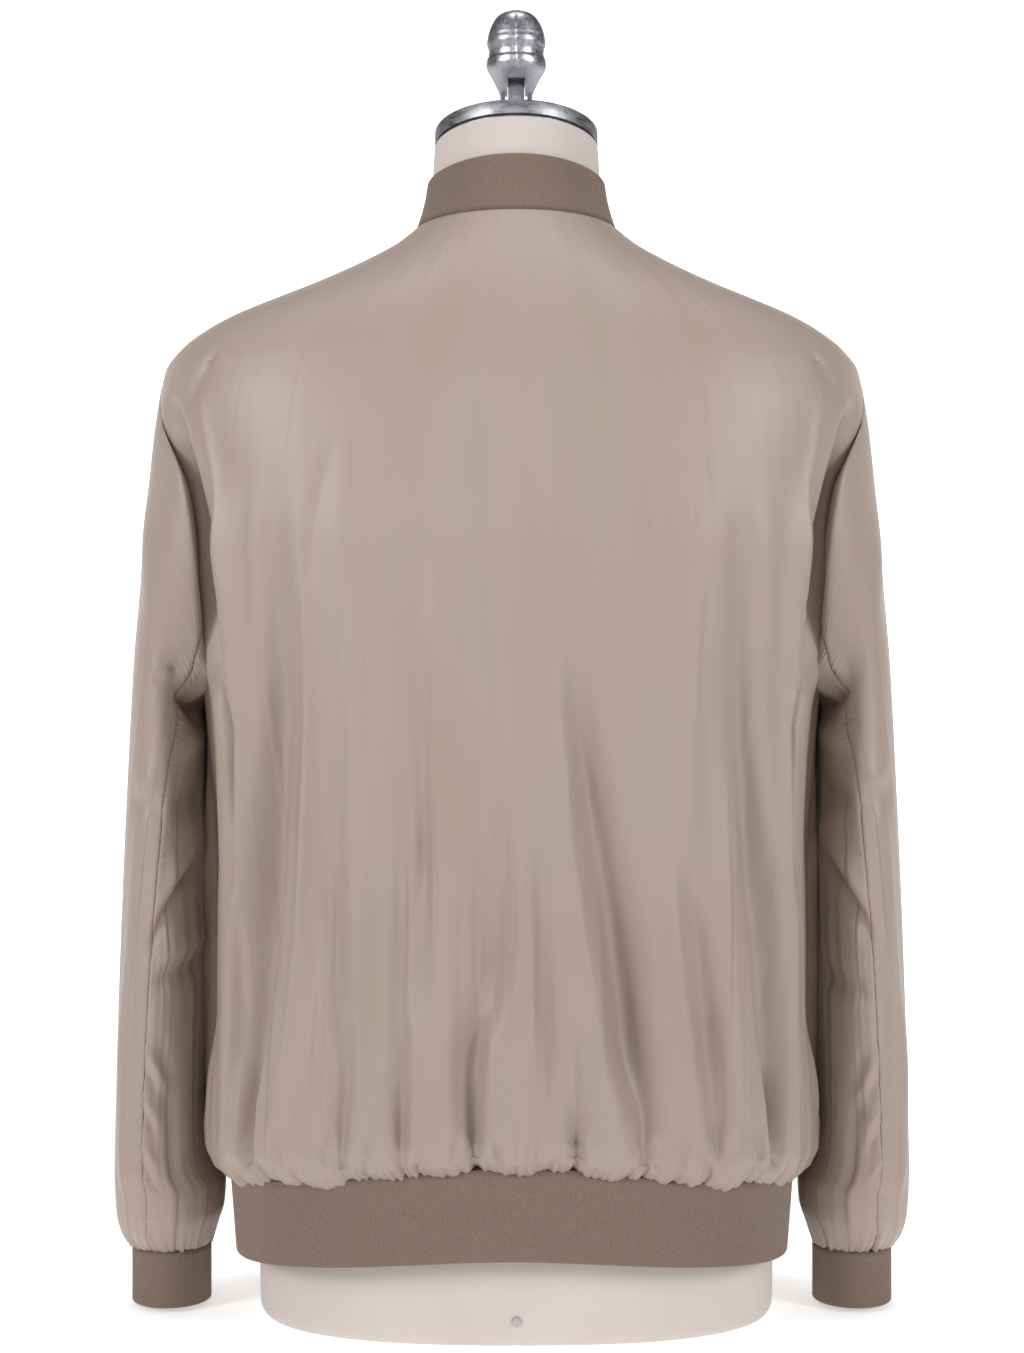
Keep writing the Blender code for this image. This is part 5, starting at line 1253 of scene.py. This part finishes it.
NECK_COLLAR_SHARES = (0.0, 0.35, 0.7, 1.0)
NECK_TOP_SHARES = (0.4, 0.8, 1.0)
# the form draws back a little behind the zip
ZIP_RELIEF, RELIEF_HALF_WIDTH = 0.0030, 0.030
form_angles = TURN * np.arange(FORM_AROUND) / FORM_AROUND


def cap_plane_z(y):
    return CAP_SEAT_Z - math.tan(CAP_TILT) * (y - NECK_CENTRE_Y)


def form_rings():
    rings = []
    for z, half_width, back, front, squareness in FORM_SECTIONS:
        heights = np.full(FORM_AROUND, z)
        rings.append(oval_points(form_angles, half_width, back, front, squareness, heights))
    for level in SEATED_LEVELS:
        levels = np.full(FORM_AROUND, level)
        points = body_plain(form_angles, levels)
        relief = np.exp(-((points[:, 0] / RELIEF_HALF_WIDTH) ** 2)) * (np.sin(form_angles) > 0.0)
        depth = SOLID_CLOTH_WALL + FORM_CLEARANCE + ZIP_RELIEF * relief
        out = facing_out(body_plain, form_angles, levels, ANGLE_STEP, LEVEL_STEP)
        rings.append(points - out * depth[:, None])
    centre = np.array((0.0, NECK_CENTRE_Y, 0.0))
    for share in NECK_COLLAR_SHARES:
        points = collar_shape(form_angles, np.full(FORM_AROUND, share))
        way = (points - centre) * (1.0, 1.0, 0.0)
        rings.append(points - unit(way) * (SOLID_RIB_WALL + NECK_CLEARANCE))
    foot = rings[-1]
    way = unit((foot - centre) * (1.0, 1.0, 0.0))
    rim = centre + way * NECK_TOP_RADIUS
    rim[:, 2] = cap_plane_z(rim[:, 1])
    for share in NECK_TOP_SHARES:
        points = foot + (rim - foot) * share
        bulge = 1.0 - share
        points[:, 0] = rim[:, 0] + (foot[:, 0] - rim[:, 0]) * bulge * (2.0 - bulge)
        rings.append(points)
    return rings


# %% Build the form
FORM_ROWS = 150
LINEN_SEAM_HALF_WIDTH, LINEN_SEAM_DEPTH = 0.0016, 0.0007
_rings = form_rings()
read_form = smooth_reader([(number, *ring.ravel()) for number, ring in enumerate(_rings)])


def make_form():
    bm = flat_grid(FORM_AROUND, FORM_ROWS)
    rows = read_form(np.linspace(0.0, len(_rings) - 1.0, FORM_ROWS + 1)).reshape(-1, FORM_AROUND, 3)
    for vert in bm.verts:
        column = round(vert.co.x * FORM_AROUND) % FORM_AROUND
        point = Vector(rows[round(vert.co.y * FORM_ROWS), column])
        if point.y < 0.0:
            point.y += LINEN_SEAM_DEPTH * math.exp(-((point.x / LINEN_SEAM_HALF_WIDTH) ** 2))
        vert.co = point
    close_up(bm)
    return new_piece("form_linen", bm, linen, sharp=50.0)


form = make_form()
dress(form, "form_torso")
print("form", len(form.data.vertices), "vertices")

# %% [markdown]
# ## The neck cap
# The cap is a turned disc that closes the form's neck and leans back a little. Under its rim is a
# narrow groove, then the thin edge of the plate below. A lug stands on it, and the knob is slotted
# over the lug. A profile spun round an axis gives every turned piece.

# %% Turned pieces
SHARP_EDGE = 35.0


def turned(name, outline, steps, material, place):
    """A profile of (radius, height) spun round Z, then moved by a matrix."""
    bm = bmesh.new()
    verts = [bm.verts.new((radius, 0.0, z)) for radius, z in outline]
    edges = [bm.edges.new(pair) for pair in zip(verts, verts[1:])]
    bmesh.ops.spin(bm, geom=verts + edges, cent=(0, 0, 0), axis=(0, 0, 1), dvec=(0, 0, 0),
                   angle=TURN, steps=steps, use_merge=True)
    bmesh.ops.remove_doubles(bm, verts=bm.verts[:], dist=1e-6)
    bmesh.ops.recalc_face_normals(bm, faces=bm.faces[:])
    bm.transform(place)
    return new_piece(name, bm, material, SHARP_EDGE)


def cut_with(thing, tools):
    """Cuts tools away and removes them, so the finished mesh stands alone."""
    for tool in tools:
        modifier = thing.modifiers.new(tool.name, "BOOLEAN")
        modifier.operation = "DIFFERENCE"
        modifier.solver = "EXACT"
        modifier.object = tool
    bpy.context.view_layer.update()
    evaluated = thing.evaluated_get(bpy.context.evaluated_depsgraph_get())
    mesh = bpy.data.meshes.new_from_object(evaluated)
    thing.modifiers.clear()
    thing.data = mesh
    for tool in tools:
        bpy.data.objects.remove(tool, do_unlink=True)
    mesh.set_sharp_from_angle(angle=math.radians(SHARP_EDGE))


def bevelled(bm, edges, offset, segments):
    bmesh.ops.bevel(bm, geom=edges, offset=offset, segments=segments, profile=0.5, material=-1,
                    affect="EDGES")


def block(name, centre, size, material, bevel=0.0):
    bm = bmesh.new()
    bmesh.ops.create_cube(bm, size=1.0)
    bm.transform(Matrix.Translation(centre) @ Matrix.Diagonal((*size, 1.0)))
    if bevel:
        bevelled(bm, bm.edges[:], bevel, 2)
    return new_piece(name, bm, material, SHARP_EDGE)


# %% Turn the cap and the lug
CAP_THICKNESS, CAP_GAP = 0.0125, 0.0004
CAP_OUTLINE = (
    (0, 0), (0.053, 0), (0.0543, 0.0002), (0.0545, 0.0005), (0.0545, 0.0009), (0.0541, 0.0011),
    (0.0524, 0.0012), (0.0522, 0.0014), (0.0522, 0.0024), (0.0526, 0.0026), (0.0546, 0.0026),
    (0.055, 0.0028), (0.0552, 0.0034), (0.0552, 0.0113), (0.055, 0.012), (0.0543, 0.0125),
    (0.04, 0.0125), (0, 0.0125),
)
cap_place = Matrix.Translation((0.0, NECK_CENTRE_Y, CAP_SEAT_Z))
cap_place = cap_place @ Matrix.Rotation(-CAP_TILT, 4, "X")
cap_place = cap_place @ Matrix.Translation((0.0, 0.0, CAP_GAP))
cap = turned("neck_cap_turned", CAP_OUTLINE, 160, turned_metal, cap_place)
LUG_WIDTH, LUG_DEPTH, LUG_TOP, LUG_BEVEL = 0.0110, 0.0090, 0.8272, 0.0004
lug_bottom = CAP_SEAT_Z + 0.5 * CAP_THICKNESS
lug = block("cap_lug", (0.0, NECK_CENTRE_Y, 0.5 * (lug_bottom + LUG_TOP)),
            (LUG_WIDTH, LUG_DEPTH, LUG_TOP - lug_bottom), turned_metal, LUG_BEVEL)
dress(cap, "neck_cap")
dress(lug, None)

# %% [markdown]
# ## The knob
# The knob is cast aluminium, left rough from the mould. Two shallow bands run round it, a parting
# line runs down it, and its foot is slotted. Small swells and dents in the mesh break up its
# reflections, as a sand-cast skin does, and the finish adds the fine grain.

# %% Turn and slot the knob
KNOB_PROFILE = (
    (0.8, 0.0112), (0.8179, 0.0112), (0.8239, 0.0129), (0.8312, 0.0165), (0.836, 0.0192),
    (0.8391, 0.02), (0.8425, 0.0197), (0.847, 0.0186), (0.8505, 0.0193), (0.8537, 0.0202),
    (0.8565, 0.02), (0.8604, 0.019), (0.863, 0.0182), (0.8665, 0.0167), (0.8705, 0.0143),
    (0.8742, 0.01), (0.876, 0.005),
)
KNOB_FOOT, KNOB_TOP = 0.8000, 0.8765
# depth, height and half width of the grooves that run round the knob
KNOB_GROOVES = ((0.0005, 0.8445, 0.0007), (0.0004, 0.8575, 0.0006))
read_knob = smooth_reader(KNOB_PROFILE)
knob_heights = np.concatenate((np.linspace(KNOB_FOOT, 0.8700, 64), np.linspace(0.8708, 0.8760, 9)))
knob_radii = read_knob(knob_heights)[:, 0]
knob_outline = [(0.0, KNOB_FOOT), *zip(knob_radii, knob_heights), (0.0, KNOB_TOP)]
knob = turned("knob_cast", knob_outline, 120, cast_metal,
              Matrix.Translation((0.0, NECK_CENTRE_Y, 0.0)))
for vert in knob.data.vertices:
    x, y, z = vert.co.x, vert.co.y - NECK_CENTRE_Y, vert.co.z
    radius = math.hypot(x, y)
    if radius < 0.006:
        continue
    swell = math.sin(310 * x + 2.0) * math.sin(270 * z + 1.0) + math.sin(420 * y + 160 * z)
    parting = math.exp(-((x / 0.0005) ** 2)) if y < 0.0 else 0.0
    groove = sum(deep * math.exp(-(((z - middle) / half_width) ** 2))
                 for deep, middle, half_width in KNOB_GROOVES)
    scale = 1.0 + (0.00018 * swell + 0.00035 * parting - groove) / radius
    vert.co.x, vert.co.y = x * scale, y * scale + NECK_CENTRE_Y
SLOT_FOOT = 0.7950
slot_tools = []
for tool_name, width, top in (("slot", 0.0118, 0.8280), ("recess", 0.0150, 0.8205)):
    middle = (0.0, NECK_CENTRE_Y, 0.5 * (SLOT_FOOT + top))
    slot_tools.append(block(tool_name, middle, (width, 0.06, top - SLOT_FOOT), cast_metal))
cut_with(knob, slot_tools)
dress(knob, "knob")
print("knob", len(knob.data.vertices), "vertices")

# %% [markdown]
# ## The front zip
# The jacket closes with a metal zip on two woven tapes. The tapes lie behind the front edges, and
# the teeth of both sides mesh along the middle. One tooth is a small bevelled block, and it is
# repeated along the cloth's own line. The slider and its pull are right as CAD made them.

# %% Tapes
TAPE_WIDTH, TAPE_LENGTH, TAPE_WALL = 0.014, 0.66, 0.0009
TAPE_GAP = 0.00015
TAPE_DEPTH_BODY, TAPE_DEPTH_HEM = 0.0022, 0.0033
# the part of the zip's length that lies on the hem band
BAND_PART = 0.08


def zip_line(x, share, depth_body, depth_hem):
    """Points on the front's middle from the hem band's bottom (share 0) to the neck seam."""
    in_band = share < BAND_PART
    band_share = np.clip(share / BAND_PART, 0.02, 1.0)
    body_share = np.clip((share - BAND_PART) / (1.0 - BAND_PART), 0.0, 1.0)
    level = HEM_LEVEL + (NECK_LEVEL - HEM_LEVEL) * body_share
    angle = front_edge(np.where(in_band, HEM_LEVEL, level), x)
    body = body_plain(angle, level)
    band = hem_band_shape(angle + TURN, band_share)
    points = np.where(in_band[:, None], band, body)
    out = body_out(angle, np.maximum(level, 0.12))
    out[:, 0] = 0.0
    depth = np.where(in_band, depth_hem, depth_body)
    return points - unit(out) * depth[:, None]


def make_tape(name, first_x, last_x):
    def place_vertices(across, up):
        x = first_x + (last_x - first_x) * across
        return zip_line(x, up, TAPE_DEPTH_BODY, TAPE_DEPTH_HEM), x, TAPE_LENGTH * up

    bm = flat_grid(6, 120)
    bmesh.ops.reverse_faces(bm, faces=bm.faces[:])
    return cloth_from_grid(name, bm, place_vertices, zip_tape, TAPE_WALL)


tape_far = TAPE_GAP + TAPE_WIDTH
for side_name, first_x, last_x in (("right", TAPE_GAP, tape_far), ("left", -tape_far, -TAPE_GAP)):
    tape = make_tape(f"zip_tape_{side_name}_woven", first_x, last_x)
    finish_sheet(tape, f"zip_tape_{side_name}")

# %% Teeth
TOOTH_PITCH = 0.0013
TOOTH_SIZE = (0.0036, 0.00085, 0.0017)
TOOTH_OFFSET, TOOTH_BEVEL = 0.0010, 0.0002
TOOTH_DEPTH_BODY, TOOTH_DEPTH_HEM = 0.0006, 0.0012
# how far along the line each way a tooth's own direction is read
TOOTH_AIM = 0.002


def make_teeth():
    shares = np.linspace(0.0, 1.0, 2000)
    line = zip_line(np.zeros(2000), shares, TOOTH_DEPTH_BODY, TOOTH_DEPTH_HEM)
    lengths = lengths_along(line)

    def at(places):
        return np.column_stack([np.interp(places, lengths, column) for column in line.T])

    count = int(lengths[-1] / TOOTH_PITCH)
    places = (np.arange(count) + 0.5) * lengths[-1] / count
    ups = unit(at(places + TOOTH_AIM) - at(places - TOOTH_AIM))
    bm = bmesh.new()
    for number, (centre, up) in enumerate(zip(at(places), ups)):
        side = 1.0 if number % 2 else -1.0
        up = Vector(up)
        out = Vector((1.0, 0.0, 0.0)).cross(up)
        turn = Matrix(((1.0, 0.0, 0.0), up, out)).transposed().to_4x4()
        place = Matrix.Translation(Vector(centre) + Vector((side * TOOTH_OFFSET, 0.0, 0.0))) @ turn
        place = place @ Matrix.Diagonal((*TOOTH_SIZE, 1.0))
        made = bmesh.ops.create_cube(bm, size=1.0, matrix=place)
        edges = {edge for vert in made["verts"] for edge in vert.link_edges}
        bevelled(bm, list(edges), TOOTH_BEVEL, 1)
    print(count, "zip teeth")
    return new_piece("zip_teeth", bm, zip_metal, SHARP_EDGE)


dress(make_teeth(), "zip_chain")

# %% Finishes on the CAD pieces that stay
for node, finish in (("zip_slider", zip_metal), ("zip_pull", zip_metal), ("base_tack", cast_metal)):
    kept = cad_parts[node]
    kept.data.materials.clear()
    kept.data.materials.append(finish)
    print(node, "keeps its CAD shape")

# %% [markdown]
# ## Floor, light and camera
# The set is a pale floor that curves up into a wall behind the jacket. All of it glows, as painted
# light: faintly near the jacket, so shadows on the floor stay pale, and more strongly further back,
# so no edge shows there. A weak light stands near the camera, a softbox on each side rakes across
# the cloth, and a wide light keeps the floor bright. Big lights give satin soft, long highlights,
# where a small lamp would give hard glints.

# %% The set
SWEEP_WIDTH, SWEEP_LENGTH, SWEEP_START = 10.0, 12.0, -5.0
WALL_START, WALL_RADIUS = 3.4, 1.2
# metres behind the jacket between which the sweep's painted glow grows, and its strengths there
GLOW_OVER, GLOW = (0.6, 2.0), (0.52, 1.0)


def make_sweep():
    bm = flat_grid(40, 60)
    for vert in bm.verts:
        x = (vert.co.x - 0.5) * SWEEP_WIDTH
        run = vert.co.y * SWEEP_LENGTH + SWEEP_START
        turn = (run - WALL_START) / WALL_RADIUS
        ahead, up = run, 0.0
        if turn > 0.0:
            bend = min(turn, 0.5 * math.pi)
            ahead = WALL_START + WALL_RADIUS * math.sin(bend)
            up = WALL_RADIUS * (1.0 - math.cos(bend) + turn - bend)
        vert.co = (x, ahead, up)
    # The paper glows all over as painted light, which keeps shadows on it pale and the wall behind
    # white.
    paper = Finish("sweep", Roughness=0.9, Specular_IOR_Level=0.1,
                   Base_Color=(0.93, 0.93, 0.93, 1.0), Emission_Color=(1.0, 1.0, 1.0, 1.0))
    ahead = paper.node("SeparateXYZ", {"Vector": paper.source}).outputs["Y"]
    paper.feed("Emission Strength", paper.remap(ahead, *GLOW_OVER, *GLOW))
    return new_piece("studio_sweep", bm, paper.material)


make_sweep()


def soft_light(name, place, aim, size, power, spread):
    """A softbox. A small spread is the grid that keeps its light off the rest of the set."""
    data = bpy.data.lights.new(name, "AREA")
    data.shape = "RECTANGLE"
    data.size, data.size_y = size
    data.energy = power
    data.spread = math.radians(spread)
    light = bpy.data.objects.new(name, data)
    light.location = place
    light.rotation_euler = (Vector(aim) - Vector(place)).to_track_quat("-Z", "Y").to_euler()
    bpy.context.scene.collection.objects.link(light)


# name, place, aim, size, watts and degrees of spread
for light in (
    ("key", (-0.20, -2.7, 1.40), (0.0, 0.0, 0.40), (0.9, 0.9), 1.0, 50.0),
    ("left", (-2.1, -1.75, 1.55), (0.0, 0.0, 0.56), (0.8, 1.2), 3.8, 48.0),
    ("right", (2.1, -1.75, 1.50), (0.0, 0.0, 0.56), (0.8, 1.2), 3.5, 48.0),
    ("floor", (0.0, 1.0, 3.0), (0.0, 1.0, 0.0), (3.8, 2.8), 13.0, 40.0),
):
    soft_light(*light)

WORLD_STRENGTH = 0.15
world = bpy.data.worlds.new("studio")
world.use_nodes = True
background = world.node_tree.nodes["Background"]
background.inputs["Color"].default_value = (1.0, 1.0, 1.0, 1.0)
background.inputs["Strength"].default_value = WORLD_STRENGTH
bpy.context.scene.world = world
bpy.context.scene.view_settings.view_transform = "Standard"

# %% The camera
CAMERA_PLACE = (-0.0029, -1.7, 0.425)
LENS = 66.5
camera_data = bpy.data.cameras.new("camera")
camera_data.lens = LENS
camera_data.sensor_width = 36.0
camera = bpy.data.objects.new("camera", camera_data)
camera.location = CAMERA_PLACE
camera.rotation_euler = (math.radians(90.0), 0.0, 0.0)
bpy.context.scene.collection.objects.link(camera)
bpy.context.scene.camera = camera
